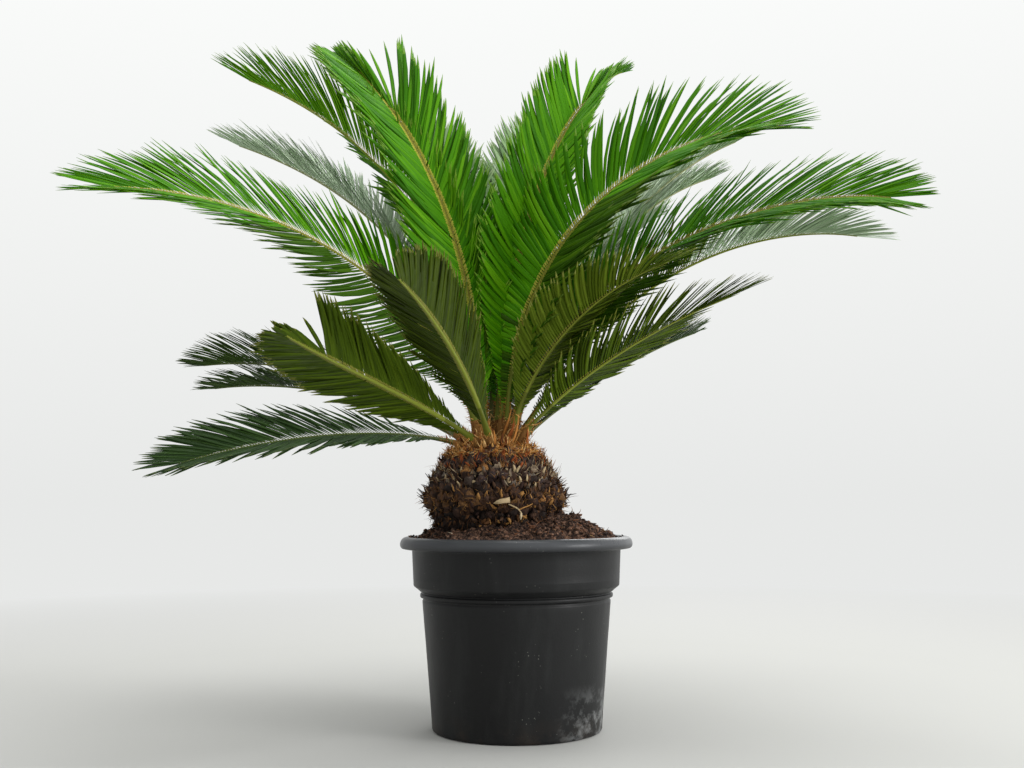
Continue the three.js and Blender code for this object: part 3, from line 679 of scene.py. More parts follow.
# armour: old leaf bases, row above row, each a stub that leans out as it rises.
# row: z of the foot, height, half width, thickness, count, raggedness, bluntness, faces, ends
CORE, DEEP, BROWN, LEDGE, SLATE, VIOLET, PALE, GREY, GOLD, UMBER = range(10)
ARMOUR = [
    (0.312, 0.026, 0.0092, 0.0070, 35, 0.0030, 0.45, (CORE, DEEP), (CORE, DEEP, BROWN)),
    (0.328, 0.025, 0.0092, 0.0070, 36, 0.0035, 0.40, (CORE, DEEP, UMBER), (DEEP, BROWN)),
    (0.345, 0.026, 0.0094, 0.0085, 37, 0.0050, 0.50, (DEEP, BROWN, UMBER), (LEDGE, BROWN, LEDGE, GOLD, UMBER)),
    (0.357, 0.026, 0.0088, 0.0080, 37, 0.0040, 0.35, (BROWN, UMBER, DEEP), (BROWN, LEDGE, UMBER)),
    (0.370, 0.026, 0.0086, 0.0075, 37, 0.0035, 0.30, (UMBER, BROWN, DEEP, VIOLET), (UMBER, BROWN, GREY)),
    (0.384, 0.026, 0.0086, 0.0075, 36, 0.0035, 0.25, (UMBER, SLATE, VIOLET, DEEP), (UMBER, BROWN, GREY)),
    (0.398, 0.027, 0.0088, 0.0078, 35, 0.0040, 0.30, (SLATE, UMBER, SLATE), (PALE, GREY, GREY, SLATE, GOLD)),
    (0.413, 0.028, 0.0084, 0.0076, 34, 0.0030, 0.20, (VIOLET, SLATE, VIOLET), (VIOLET, UMBER, GREY)),
    (0.424, 0.026, 0.0080, 0.0072, 33, 0.0025, 0.20, (VIOLET, SLATE, VIOLET), (VIOLET, UMBER, BROWN)),
]
RS, KS = 12, 12
tips_at = []
for row, (z0, h, hw, thick, count, rag, blunt, faces, ends) in enumerate(ARMOUR):
    for c in range(count):
        ang = 2 * math.pi * (c + 0.5 * (row % 2) + 0.07 * row + 0.15 * rng.normal()) / count
        right = math.cos(ang - math.radians(-55))          # the paler, drier side
        left = math.cos(ang - math.radians(-150))
        zf = z0 + 0.0030 * rng.normal() + 0.002 * math.sin(3 * ang + row)
        hh = h * (1 + 0.14 * rng.normal())
        w = hw * (1 + 0.14 * rng.normal())
        tilt = 0.13 * rng.normal()
        rad = np.array([math.cos(ang), math.sin(ang), 0.0])
        tan = np.array([-math.sin(ang), math.cos(ang), 0.0])
        u = np.linspace(0, 1, KS)
        zc = zf + hh * u
        reach = rng.normal() * 0.0016
        lean = np.interp(u, [0, 0.55, 0.85, 1.0], [-0.0100, -0.0008, 0.0010, 0.0002])
        ctr = (np.stack([stem_x(zc), 0 * zc, zc], -1) + rad * (stem_r(zc) - thick + lean + reach * u)[:, None]
               + tan * (tilt * hh * (u - 0.4))[:, None])
        pointed = np.interp(u, [0, 0.22, 0.48, 0.70, 0.86, 0.95, 1.0], [0.42, 0.80, 1.0, 0.94, 0.64, 0.36, 0.10])
        square = np.interp(u, [0, 0.22, 0.55, 0.90, 1.0], [0.42, 0.80, 1.0, 0.95, 0.80])
        b = min(1.0, max(0.0, blunt + 0.30 * rng.normal()))
        half = w * (pointed * (1 - b) + square * b)
        s = np.arange(RS)
        # a flattened front, a shallow back
        th = 2 * math.pi * s / RS
        px, py = -np.cos(th), -np.sin(th)
        fr = np.clip(py, 0, 1) ** 0.7 * (1 + 0.27 * np.cos(px * (8 + 5 * rng.random()) + rng.random() * 6))
        bk = np.clip(-py, 0, 1) * 0.75
        body = thick * np.interp(u, [0, 0.3, 0.7, 0.92, 1.0], [0.55, 0.85, 1.0, 0.62, 0.28 + 0.5 * b])
        C = (ctr[:, None, :] + tan * (half[:, None] * px)[:, :, None] + rad * (body[:, None] * (fr - bk)[None])[:, :, None])
        q = C + 0.37 * row
        rough = 0.0015 if row >= 7 else 0.0022
        C = C + rough * np.stack([fbm(q, 170, 3, 40 + k, 0.6) for k in range(3)], -1)
        C = C + rad * (rough * 0.8 * noise(q, 620, 77))[:, :, None]
        edge = 1.5 * rag * (rng.random(RS) - 0.35)
        C[-1, :, 2] += edge
        C[-2, :, 2] += edge * 0.6
        C[-3, :, 2] += edge * 0.25
        K, S = C.shape[:2]
        i, j = np.meshgrid(np.arange(K - 1), np.arange(S), indexing="ij")
        j2 = (j + 1) % S
        qd = np.stack([i * S + j, i * S + j2, (i + 1) * S + j2, (i + 1) * S + j], -1).reshape(-1, 4)
        face = int(rng.choice(faces))
        end = int(rng.choice(ends))
        if row == 6:
            end = int(rng.choice([PALE, GREY, PALE, GOLD]) if rng.random() < 0.25 + 0.6 * max(0, right) else rng.choice([UMBER, GREY, SLATE]))
        if row == 5 and rng.random() < 0.35 * max(0, right):
            end = PALE
        if row in (2, 3) and left > 0.2 and rng.random() < 0.5:
            end = LEDGE
        qm = np.full((K - 1, S), face)
        qm[-2:, :] = end
        if row in (2, 6) and rng.random() < 0.7:
            qm[-4:, :] = end
        mid = C[-1].mean(0) - np.array([0, 0, 1.0]) * 0.002 * b
        verts = np.vstack([C.reshape(-1, 3), mid, C[0].mean(0)])
        last = (K - 1) * S
        t1 = np.stack([last + s, last + (s + 1) % S, np.full(S, K * S)], -1)
        t0 = np.stack([(s + 1) % S, s, np.full(S, K * S + 1)], -1)
        trunk.add(verts, qd, np.vstack([t1, t0]), qm.reshape(-1), np.concatenate([np.full(S, end), np.full(S, face)]))
        tips_at.append((row, ang, zf + hh))

bark = [
    textured("bark_core", [(0.3, (14, 9, 7)), (0.6, (28, 19, 14)), (0.8, (44, 31, 23))], 90, bump=0.6, bump_scale=400),
    textured("bark_deep", [(0.3, (22, 15, 12)), (0.55, (44, 31, 25)), (0.8, (70, 51, 39))], 150, bump=1.0, bump_scale=620, bump_dist=0.0016, stretch=(1, 1, 0.4)),
    textured("bark_brown", [(0.3, (32, 20, 14)), (0.55, (66, 43, 28)), (0.8, (104, 73, 48))], 160, bump=1.0, bump_scale=620, bump_dist=0.0016, stretch=(1, 1, 0.4)),
    textured("bark_ledge", [(0.3, (52, 34, 18)), (0.55, (104, 72, 40)), (0.8, (156, 118, 72))], 200, bump=0.8, bump_scale=600, stretch=(1, 1, 0.5)),
    textured("bark_slate", [(0.3, (34, 26, 23)), (0.55, (68, 55, 48)), (0.8, (112, 96, 84))], 150, bump=1.0, bump_scale=620, bump_dist=0.0016, stretch=(1, 1, 0.25)),
    textured("bark_violet", [(0.3, (30, 21, 20)), (0.55, (60, 43, 41)), (0.82, (102, 82, 76))], 150, bump=1.0, bump_scale=620, bump_dist=0.0016, stretch=(1, 1, 0.2), rough=(0.45, 0.75)),
    textured("bark_pale", [(0.3, (78, 64, 50)), (0.5, (128, 110, 90)), (0.75, (176, 160, 134))], 220, bump=0.8, bump_scale=650),
    textured("bark_grey", [(0.3, (64, 56, 50)), (0.55, (108, 97, 86)), (0.8, (150, 140, 126))], 220, bump=0.8, bump_scale=650),
    textured("bark_gold", [(0.3, (92, 58, 28)), (0.55, (148, 102, 54)), (0.8, (190, 146, 90))], 220, bump=0.8, bump_scale=650),
    textured("bark_umber", [(0.3, (32, 21, 16)), (0.55, (66, 45, 34)), (0.8, (110, 82, 62))], 150, bump=1.0, bump_scale=620, bump_dist=0.0016, stretch=(1, 1, 0.3)),
]
ob = trunk.build("trunk_armour", bark)
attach(ob, BODY)
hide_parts("trunk")
print("trunk", trunk.count())

# fibres, broken stalk ends, chips and dry roots on the stem
fib = Heap()
fib_mats = [leafy("fibre_brown", (92, 62, 38), 0.85, 0.15), leafy("fibre_dark", (40, 27, 20), 0.85, 0.15),
            leafy("fibre_gold", (164, 120, 68), 0.8, 0.15), leafy("fibre_pale", (182, 160, 124), 0.8, 0.15),
            leafy("fibre_rust", (150, 78, 40), 0.8, 0.15), leafy("fibre_white", (200, 180, 146), 0.8, 0.15),
            leafy("flake_dark", (58, 42, 37), 0.85, 0.15, 500.0), leafy("flake_umber", (82, 60, 46), 0.85, 0.15, 500.0),
            leafy("flake_grey", (112, 98, 84), 0.85, 0.15, 500.0)]
rng = np.random.default_rng(53)


def fibres_at(z, ang, length, radius, up, out, mats, curl=0.7, lift=0.0):
    n = len(z)
    side = np.stack([-np.sin(ang), np.cos(ang), 0 * ang], -1)
    d = (outward(ang) * (out * rng.uniform(0.4, 1.4, n))[:, None] + np.array([0, 0, 1.0]) * (up * rng.uniform(0.3, 1.4, n))[:, None]
         + side * rng.normal(size=n)[:, None] * 0.45)
    strands(fib, on_stem(z, ang, lift), d, rng.uniform(0.5, 1.4, n) * length, rng.uniform(0.6, 1.4, n) * radius,
            curl, rng, rng.choice(mats, n))


def stem_fibres(n, z0, z1, length, radius, up, out, mats, curl=0.7, lift=0.0):
    fibres_at(rng.uniform(z0, z1, n), rng.uniform(0, 2 * math.pi, n), length, radius, up, out, mats, curl, lift)


# frayed tips of the old leaf bases
for rows, per, length, mats in (((0, 1), 2, 0.008, [1, 1, 0]), ((2, 3), 8, 0.0090, [0, 2, 2, 0, 1]), ((4, 5), 4, 0.0090, [0, 1, 0, 2, 3]),
                                ((6,), 5, 0.0085, [3, 0, 2, 5, 0]), ((7, 8), 2, 0.008, [0, 1, 4])):
    pick = np.array([(a, z) for r, a, z in tips_at if r in rows])
    pick = np.repeat(pick, per, 0)
    n = len(pick)
    fibres_at(pick[:, 1] - 0.002 + rng.normal(size=n) * 0.0012, pick[:, 0] + rng.normal(size=n) * 0.055, length, 0.00050, 0.9, 0.55, mats, 0.7, -0.003)
stem_fibres(260, 0.330, 0.436, 0.009, 0.00055, 1.0, 0.30, [0, 1, 1, 0, 2], 0.8, -0.002)
stem_fibres(220, 0.350, 0.374, 0.010, 0.00060, -0.35, 0.7, [0, 2, 2, 0, 1], 0.9, -0.001)
stem_fibres(280, 0.322, 0.350, 0.016, 0.00050, -0.9, 0.5, [1, 1, 0], 0.8, -0.001)
stem_fibres(120, 0.400, 0.426, 0.010, 0.00050, 0.8, 0.7, [3, 0, 3, 2, 5], 0.6, 0.0)
stem_fibres(200, 0.418, 0.446, 0.014, 0.00085, 1.0, 0.20, [4, 4, 0, 2, 4], 0.35, -0.001)
stem_fibres(60, 0.360, 0.430, 0.020, 0.00050, 0.5, 0.9, [3, 2, 5, 0], 1.1, 0.0)

# loose flakes of dry bark and scale that overlap the leaf bases
n = 1150
z = rng.uniform(0.328, 0.438, n)
ang = rng.uniform(0, 2 * math.pi, n)
u = np.linspace(0, 1, 5)
side = np.stack([-np.sin(ang), np.cos(ang), 0 * ang], -1)
d0 = unit(side * rng.normal(size=(n, 1)) * 0.35 + np.array([0, 0, 1.0]) * np.where(z < 0.350, rng.uniform(-1.1, 0.6, n), rng.uniform(0.4, 1.2, n))[:, None]
          + outward(ang) * rng.uniform(0.0, 0.34, n)[:, None])
lift0 = rng.uniform(-0.0060, 0.0006, n)
p = on_stem(z, ang, lift0)
L0 = rng.uniform(0.006, 0.015, n)
C, D = [p], [d0]
cur, dd = p.copy(), d0
for k in range(1, 5):
    dd = unit(dd + rng.normal(size=(n, 3)) * 0.16)
    cur = cur + dd * (L0 / 4)[:, None]
    C.append(cur)
    D.append(dd)
C, D = np.stack(C, 1), np.stack(D, 1)
nrm = unit(outward(ang) + side * rng.normal(size=(n, 1)) * 0.35)
W = unit(np.cross(D, np.broadcast_to(nrm[:, None], D.shape)))
U = np.cross(W, D)
w = (rng.uniform(0.0012, 0.0038, n)[:, None] * np.interp(u, [0, 0.3, 0.7, 1.0], [0.7, 1.0, 0.75, 0.16])[None])[:, :, None]
sec = np.array([(-1.0, -0.10), (0.0, 0.20), (1.0, -0.10), (0.0, -0.20)])
band = np.where(z > 0.418, 2, np.where(z > 0.385, 1, 0))
pick = np.stack([rng.choice([0, 0, 1, 2, 6, 7, 7], n), rng.choice([0, 7, 7, 6, 3, 1, 8], n), rng.choice([7, 6, 6, 0, 4, 1, 1], n)], -1)
fm = np.take_along_axis(pick, band[:, None], 1)[:, 0]
tubes(fib, C, W * w, U * w, sec, 0, True, False, np.broadcast_to(fm[:, None, None], (n, 4, 4)))

# stiff dark ends of old stalks that stand out round the ledge
n = 54
ang = np.concatenate([np.radians(180 + rng.normal(size=15) * 20), np.radians(0 + rng.normal(size=14) * 22), rng.uniform(0, 2 * math.pi, 25)])
z = np.concatenate([rng.uniform(0.350, 0.400, 15), rng.uniform(0.350, 0.396, 14), rng.uniform(0.350, 0.405, 25)])
tilt = rng.uniform(0.0, 1.3, n)
strands(fib, on_stem(z, ang, -0.006), outward(ang) + np.array([0, 0, 1.0]) * tilt[:, None] + rng.normal(size=(n, 3)) * 0.12,
        rng.uniform(0.014, 0.026, n), rng.uniform(0.0010, 0.0018, n), 0.12, rng, rng.choice([1, 1, 0], n), K=5, sides=5, taper=0.25)


def tube_path(heap, pts, radii, mat, sides=7):
    pts = np.asarray(pts, float)
    m = 5
    x = np.linspace(0, len(pts) - 1, (len(pts) - 1) * m + 1)
    i = np.minimum(x.astype(int), len(pts) - 2)
    t = (x - i)[:, None]
    p0, p1, p2, p3 = (pts[np.clip(i + k, 0, len(pts) - 1)] for k in (-1, 0, 1, 2))
    c = 0.5 * (2 * p1 + (p2 - p0) * t + (2 * p0 - 5 * p1 + 4 * p2 - p3) * t ** 2 + (3 * p1 - p0 - 3 * p2 + p3) * t ** 3)
    r = np.interp(x, np.arange(len(radii)), radii)
    d = unit(np.gradient(c, axis=0))
    a = unit(np.cross(d, np.array([0.3, 0.2, 1.0])))
    u = np.cross(d, a)
    ang = -np.arange(sides) * 2 * math.pi / sides
    tubes(heap, c[None], (a * r[:, None])[None], (u * r[:, None])[None], np.stack([np.cos(ang), np.sin(ang)], -1), mat)


# forked dry root that hangs from the ledge
tube_path(fib, [(-0.012, -0.117, 0.362), (-0.004, -0.122, 0.3585), (0.003, -0.123, 0.3545), (0.008, -0.123, 0.3485)],
          [0.0009, 0.0012, 0.0011, 0.0009], 3)
tube_path(fib, [(0.004, -0.122, 0.353), (0.012, -0.121, 0.3565), (0.020, -0.117, 0.3595), (0.026, -0.112, 0.3625)],
          [0.0008, 0.0010, 0.0009, 0.0004], 2)
tube_path(fib, [(0.008, -0.123, 0.3485), (0.0075, -0.1235, 0.343), (0.007, -0.123, 0.338)], [0.0013, 0.0022, 0.0008], 5)
# pale chip of wood on the ledge
outline = np.array([(-0.50, -0.42), (-0.30, -0.02), (-0.05, 0.22), (0.22, 0.30), (0.46, 0.50), (0.50, -0.30), (0.18, -0.36), (-0.20, -0.50)])
S = len(outline)
c0 = np.array([-0.0225, -0.1225, 0.3672])
front = np.array([[c0[0] + x * 0.026, c0[1] - 0.0015 + 0.010 * abs(x) + 0.002 * y, c0[2] + y * 0.0100] for x, y in outline])
back = front + np.array([0.0008, 0.0045, 0.0012])
inner_f = front.mean(0) + np.array([0, -0.0008, 0.0003])
inner_b = back.mean(0)
s = np.arange(S)
fib.add(np.vstack([front, back, inner_f, inner_b]), np.stack([s, (s + 1) % S, (s + 1) % S + S, s + S], -1),
        np.vstack([np.stack([(s + 1) % S, s, np.full(S, 2 * S)], -1), np.stack([s + S, (s + 1) % S + S, np.full(S, 2 * S + 1)], -1)]), 3, 3)
ob = fib.build("stem_fibres", fib_mats)
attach(ob, BODY)
print("fibres", fib.count())


# -------------------------------------------------------------- woolly crown
wool = Heap()
rng = np.random.default_rng(97)
CX = -0.037
NR, NA = 30, 140
dome = np.array([(0, 75), (4, 72), (8, 65), (12, 56), (16, 44), (20, 29), (23, 12), (24, 3)]) / 1000.0
uu = np.linspace(0, 1, NR)
hz = np.interp(uu, np.linspace(0, 1, len(dome)), dome[:, 0])
hr = np.interp(uu, np.linspace(0, 1, len(dome)), dome[:, 1])
aa = np.arange(NA) * 2 * math.pi / NA
Hg, Ag = np.meshgrid(hz, aa, indexing="ij")
Rg = np.repeat(hr[:, None], NA, 1)
Pn = np.stack([Rg * np.cos(Ag), Rg * np.sin(Ag), Hg], -1)
bumpy = 0.004 * fbm(Pn, 70, 4, 5) + 0.0015 * noise(Pn, 420, 8)
DOME_Z = 0.4415
V = np.stack([CX + (Rg + bumpy) * np.cos(Ag), (Rg + bumpy) * np.sin(Ag), DOME_Z + Hg + 0.6 * bumpy], -1).reshape(-1, 3)
i, j = np.meshgrid(np.arange(NR - 1), np.arange(NA), indexing="ij")
j2 = (j + 1) % NA
quads = np.stack([i * NA + j, i * NA + j2, (i + 1) * NA + j2, (i + 1) * NA + j], -1).reshape(-1, 4)
V = np.vstack([V, [[CX, 0, DOME_Z - 0.001]], [[CX, 0, DOME_Z + 0.0245]]])
j = np.arange(NA)
caps = np.vstack([np.stack([(j + 1) % NA, j, np.full(NA, NR * NA)], -1),
                  np.stack([(NR - 1) * NA + j, (NR - 1) * NA + (j + 1) % NA, np.full(NA, NR * NA + 1)], -1)])
wool.add(V, quads, caps, 0, 0)


def on_dome(u, ang, lift=0.0):
    h = np.interp(u, np.linspace(0, 1, len(dome)), dome[:, 0])
    r = np.interp(u, np.linspace(0, 1, len(dome)), dome[:, 1]) + lift
    return np.stack([CX + r * np.cos(ang), r * np.sin(ang), DOME_Z + h], -1)


def scales(p, d, length, width, mats, curve):
    """Pointed dry scales between the leaf stalks."""
    M = len(p)
    K = 7
    u = np.linspace(0, 1, K)
    d = unit(d)
    side = unit(np.cross(d, np.array([0, 0, 1.0]) + 0.05 * rng.normal(size=(M, 3))))
    nrm = np.cross(side, d)
    C, D = [p], [d]
    cur, dd = p.copy(), d
    for k in range(1, K):
        dd = unit(dd + nrm * (curve / (K - 1))[:, None] + rng.normal(size=(M, 3)) * 0.09)
        cur = cur + dd * (length / (K - 1))[:, None]
        C.append(cur)
        D.append(dd)
    C, D = np.stack(C, 1), np.stack(D, 1)
    W = unit(np.cross(D, np.broadcast_to(nrm[:, None], D.shape)))
    U = np.cross(W, D)
    prof = np.interp(u, [0, 0.2, 0.6, 1.0], [0.8, 1.0, 0.62, 0.04])
    w = width[:, None, None] * prof[None, :, None]
    sec = np.array([(-1.0, -0.15), (0.0, 0.22), (1.0, -0.15), (0.0, -0.20)])
    mm = np.broadcast_to(np.asarray(mats)[:, None, None], (M, K - 1, 4))
    tubes(wool, C, W * w, U * w, sec, 0, True, False, mm)


FELT, W_GOLD, W_AMBER, W_BROWN, W_RUST, W_UMBER, W_STRAW = range(7)
n = 460
ang = rng.uniform(0, 2 * math.pi, n)
u = rng.beta(1.2, 1.6, n) * 0.95
rise = np.interp(u, [0, 0.3, 1], [-0.25, 0.25, 1.2]) * rng.uniform(0.6, 1.3, n)
d = outward(ang) + np.array([0, 0, 1.0]) * rise[:, None] + rng.normal(size=(n, 3)) * 0.55
scales(on_dome(u, ang, -0.002), d, rng.uniform(0.009, 0.021, n), rng.uniform(0.0018, 0.0042, n),
       rng.choice([W_GOLD, W_AMBER, W_AMBER, W_BROWN, W_RUST, W_STRAW], n), rng.uniform(-1.5, 1.5, n))
# taller dry scales that stand up between the stalks
spots = np.radians(np.concatenate([[-48, -50, -46, -52, -44, -76, -86, -94, -118, -122, -128, -150, -160, -165], rng.uniform(-30, 210, 26)]))
n = len(spots)
spots = spots + rng.normal(size=n) * 0.05
u = rng.uniform(0.40, 0.80, n)
tall = rng.uniform(0.018, 0.038, n)
tall[:5] = (0.062, 0.055, 0.048, 0.042, 0.036)
d = outward(spots) * 0.40 + np.array([0, 0, 1.0]) + rng.normal(size=(n, 3)) * 0.10
scales(on_dome(u, spots, 0.0), d, tall, rng.uniform(0.0022, 0.0040, n), rng.choice([W_AMBER, W_RUST, W_UMBER, W_GOLD, W_RUST], n), rng.uniform(-0.3, 0.45, n))
# loose skirt that hangs over the top of the stem
n = 240
ang = rng.uniform(0, 2 * math.pi, n)
ang[:50] = np.radians(185 + rng.normal(size=50) * 30)
d = outward(ang) * 0.55 + np.array([0, 0, 1.0]) * rng.uniform(-1.3, 0.3, n)[:, None] + rng.normal(size=(n, 3)) * 0.3
scales(on_dome(rng.uniform(0.0, 0.10, n), ang, 0.001), d, rng.uniform(0.007, 0.016, n), rng.uniform(0.0012, 0.0030, n),
       rng.choice([W_GOLD, W_AMBER, W_BROWN, W_RUST, W_STRAW], n), rng.uniform(-1.1, 0.4, n))
# felt of curled hairs: over the dome, round each stalk, and hanging at the rim
n = 1150
ang = rng.uniform(0, 2 * math.pi, n)
u = rng.uniform(0, 0.92, n)
side = np.stack([-np.sin(ang), np.cos(ang), 0 * ang], -1)
d = (outward(ang) * 0.5 + side * rng.normal(size=(n, 1)) * 1.1 + np.array([0, 0, 1.0]) * rng.normal(size=(n, 1)) * 0.6)
strands(wool, on_dome(u, ang, 0.001), d, rng.uniform(0.010, 0.024, n), rng.uniform(0.00050, 0.00120, n), 1.9, rng,
        rng.choice([W_GOLD, W_GOLD, W_AMBER, W_STRAW, W_STRAW, W_BROWN, W_AMBER], n), K=6)
feet, ways = [], []
for f in fronds:
    m = 26
    s = rng.uniform(-0.012, 0.020, m)
    p = f["P"][0] + f["T"][0] * s[:, None]
    a = rng.uniform(0, 2 * math.pi, m)
    off = np.cos(a)[:, None] * f["B"][0] + np.sin(a)[:, None] * f["N"][0]
    feet.append(p + off * 0.0065)
    ways.append(np.cross(f["T"][0], off) * rng.choice([-1, 1], m)[:, None] + off * 0.35 + f["T"][0] * rng.normal(size=(m, 1)) * 0.5)
feet, ways = np.vstack(feet), np.vstack(ways)
n = len(feet)
strands(wool, feet, ways, rng.uniform(0.007, 0.018, n), rng.uniform(0.00045, 0.00100, n), 1.6, rng,
        rng.choice([W_GOLD, W_AMBER, W_STRAW, W_BROWN, W_RUST], n), K=6)
n = 300
ang = rng.uniform(0, 2 * math.pi, n)
ang[:90] = np.radians(190 + rng.normal(size=90) * 30)
side = np.stack([-np.sin(ang), np.cos(ang), 0 * ang], -1)
d = outward(ang) * 0.5 + side * rng.normal(size=(n, 1)) * 0.7 - np.array([0, 0, 1.0]) * rng.uniform(0.2, 1.4, n)[:, None]
strands(wool, on_dome(rng.uniform(0, 0.06, n), ang, 0.001), d, rng.uniform(0.007, 0.017, n), rng.uniform(0.00040, 0.00085, n), 1.5, rng,
        rng.choice([W_STRAW, W_GOLD, W_BROWN, W_STRAW], n), K=6)
wool_mats = [
    textured("wool_felt", [(0.3, (58, 33, 17)), (0.5, (112, 70, 36)), (0.75, (178, 126, 70))], 190, bump=1.0, bump_scale=800, rough=(0.85, 1.0), sheen=0.2),
    leafy("wool_gold", (208, 158, 90), 0.85, 0.12), leafy("wool_amber", (180, 122, 62), 0.85, 0.12),
    leafy("wool_brown", (116, 70, 38), 0.85, 0.12), leafy("wool_rust", (150, 84, 42), 0.85, 0.12),
    leafy("wool_umber", (88, 52, 32), 0.85, 0.12), leafy("wool_straw", (228, 186, 122), 0.85, 0.12),
]
ob = wool.build("crown_wool", wool_mats)
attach(ob, BODY)
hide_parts("crown")
print("wool", wool.count())


# --------------------------------------------------------------------- soil
soil = Heap()
rng = np.random.default_rng(131)
EDGE_R = 0.1668
NR, NA = 96, 280
rr = np.linspace(0, 1, NR) ** 0.8
aa = np.arange(NA) * 2 * math.pi / NA


def soil_z(x, y):
    r = np.minimum(1, np.hypot(x, y) / 0.1669)
    hump = 0.020 * np.exp(-((x - 0.092) ** 2 + (y + 0.018) ** 2) / (2 * 0.046 ** 2))
    P = np.stack([x, y, 0 * x], -1)
    fade = 0.25 + 0.75 * np.clip((EDGE_R - np.hypot(x, y)) / 0.010, 0, 1)
    clods = 0.0056 * fbm(P, 42, 3, 11) + 0.0042 * np.abs(fbm(P, 120, 3, 23)) + 0.0021 * fbm(P, 330, 2, 29)
    bank = 0.007 * np.exp(-((np.hypot(x - STEM_X, y) - 0.106) / 0.012) ** 2)
    return 0.303 + 0.022 * (1 - r ** 2.2) + hump * (1 - r ** 6) + clods * fade + bank


Rg, Ag = np.meshgrid(rr * EDGE_R, aa, indexing="ij")
X, Y = Rg * np.cos(Ag), Rg * np.sin(Ag)
Z = soil_z(X, Y)
V = np.stack([X, Y, Z], -1)
skirt = np.stack([X[-1], Y[-1], np.full(NA, 0.262)], -1)
V = np.vstack([V.reshape(-1, 3), skirt, [[0, 0, 0.262]]])
i, j = np.meshgrid(np.arange(1, NR - 1), np.arange(NA), indexing="ij")
j2 = (j + 1) % NA
quads = np.stack([i * NA + j, (i + 1) * NA + j, (i + 1) * NA + j2, i * NA + j2], -1).reshape(-1, 4)
j = np.arange(NA)
j2 = (j + 1) % NA
skq = np.stack([(NR - 1) * NA + j, NR * NA + j, NR * NA + j2, (NR - 1) * NA + j2], -1)
centre = np.stack([np.full(NA, 0), NA + j, NA + j2], -1)
under = np.stack([NR * NA + j2, NR * NA + j, np.full(NA, (NR + 1) * NA)], -1)
V[1:NA] = V[0]
soil.add(V, np.vstack([quads, skq]), np.vstack([centre, under]), 0, 0)
soil_mats = [
    textured("peat", [(0.34, (10, 6, 5)), (0.46, (40, 26, 20)), (0.58, (98, 71, 56)), (0.72, (178, 143, 120))], 230, detail=9, bump=0.9, bump_scale=560, rough=(0.85, 1.0)),
    textured("crumb_dark", [(0.3, (14, 9, 7)), (0.7, (58, 38, 29))], 200, bump=0.6, bump_scale=600),
    textured("crumb_brown", [(0.3, (66, 43, 33)), (0.7, (150, 111, 88))], 200, bump=0.6, bump_scale=600),
    leafy("bit_rust", (138, 88, 56), 0.85, 0.15), leafy("bit_straw", (172, 138, 96), 0.85, 0.15),
    leafy("bit_pale", (206, 194, 170), 0.85, 0.15),
]
# crumbs and lumps
g = (1 + 5 ** 0.5) / 2
ico = unit(np.array([(-1, g, 0), (1, g, 0), (-1, -g, 0), (1, -g, 0), (0, -1, g), (0, 1, g), (0, -1, -g), (0, 1, -g),
                     (g, 0, -1), (g, 0, 1), (-g, 0, -1), (-g, 0, 1)], float))
icot = np.array([(0, 11, 5), (0, 5, 1), (0, 1, 7), (0, 7, 10), (0, 10, 11), (1, 5, 9), (5, 11, 4), (11, 10, 2), (10, 7, 6), (7, 1, 8),
                 (3, 9, 4), (3, 4, 2), (3, 2, 6), (3, 6, 8), (3, 8, 9), (4, 9, 5), (2, 4, 11), (6, 2, 10), (8, 6, 7), (9, 8, 1)])
n = 2500
r = EDGE_R * 0.985 * np.sqrt(rng.random(n))
ang = rng.uniform(0, 2 * math.pi, n)
x, y = r * np.cos(ang), r * np.sin(ang)
ok = np.hypot(x - STEM_X, y) > 0.096
x, y = x[ok], y[ok]
n = len(x)
size = 0.0009 + 0.0034 * rng.random(n) ** 3.0
size = np.where(rng.random(n) < 0.03, size * 1.9, size)
v = ico[None] * size[:, None, None] * (1 + 0.32 * rng.normal(size=(n, 12, 1))) * np.array([1.0, 1.0, 0.75])
v = v + np.stack([x, y, soil_z(x, y) + size * 0.25], -1)[:, None, :]
soil.add(v, None, (icot[None] + (np.arange(n) * 12)[:, None, None]).reshape(-1, 3), 0,
         np.repeat(rng.choice([1, 1, 2, 2, 0], n), 20))
# crumbs spilt on the inner lip of the pot's rim
n = 260
ang = np.concatenate([np.radians(205 + rng.normal(size=150) * 38), rng.uniform(0, 2 * math.pi, n - 150)])
r = rng.uniform(0.1655, 0.1765, n)
x, y = r * np.cos(ang), r * np.sin(ang)
size = 0.0005 + 0.0019 * rng.random(n) ** 2.0
lip = np.interp(r, [0.1655, 0.1686, 0.1706, 0.1736, 0.1772], [0.3040, 0.3052, 0.3072, 0.3085, 0.3090])
v = ico[None] * size[:, None, None] * (1 + 0.32 * rng.normal(size=(n, 12, 1))) * np.array([1.0, 1.0, 0.75])
v = v + np.stack([x, y, lip + size * 0.35], -1)[:, None, :]
soil.add(v, None, (icot[None] + (np.arange(n) * 12)[:, None, None]).reshape(-1, 3), 0, np.repeat(rng.choice([1, 2], n), 20))
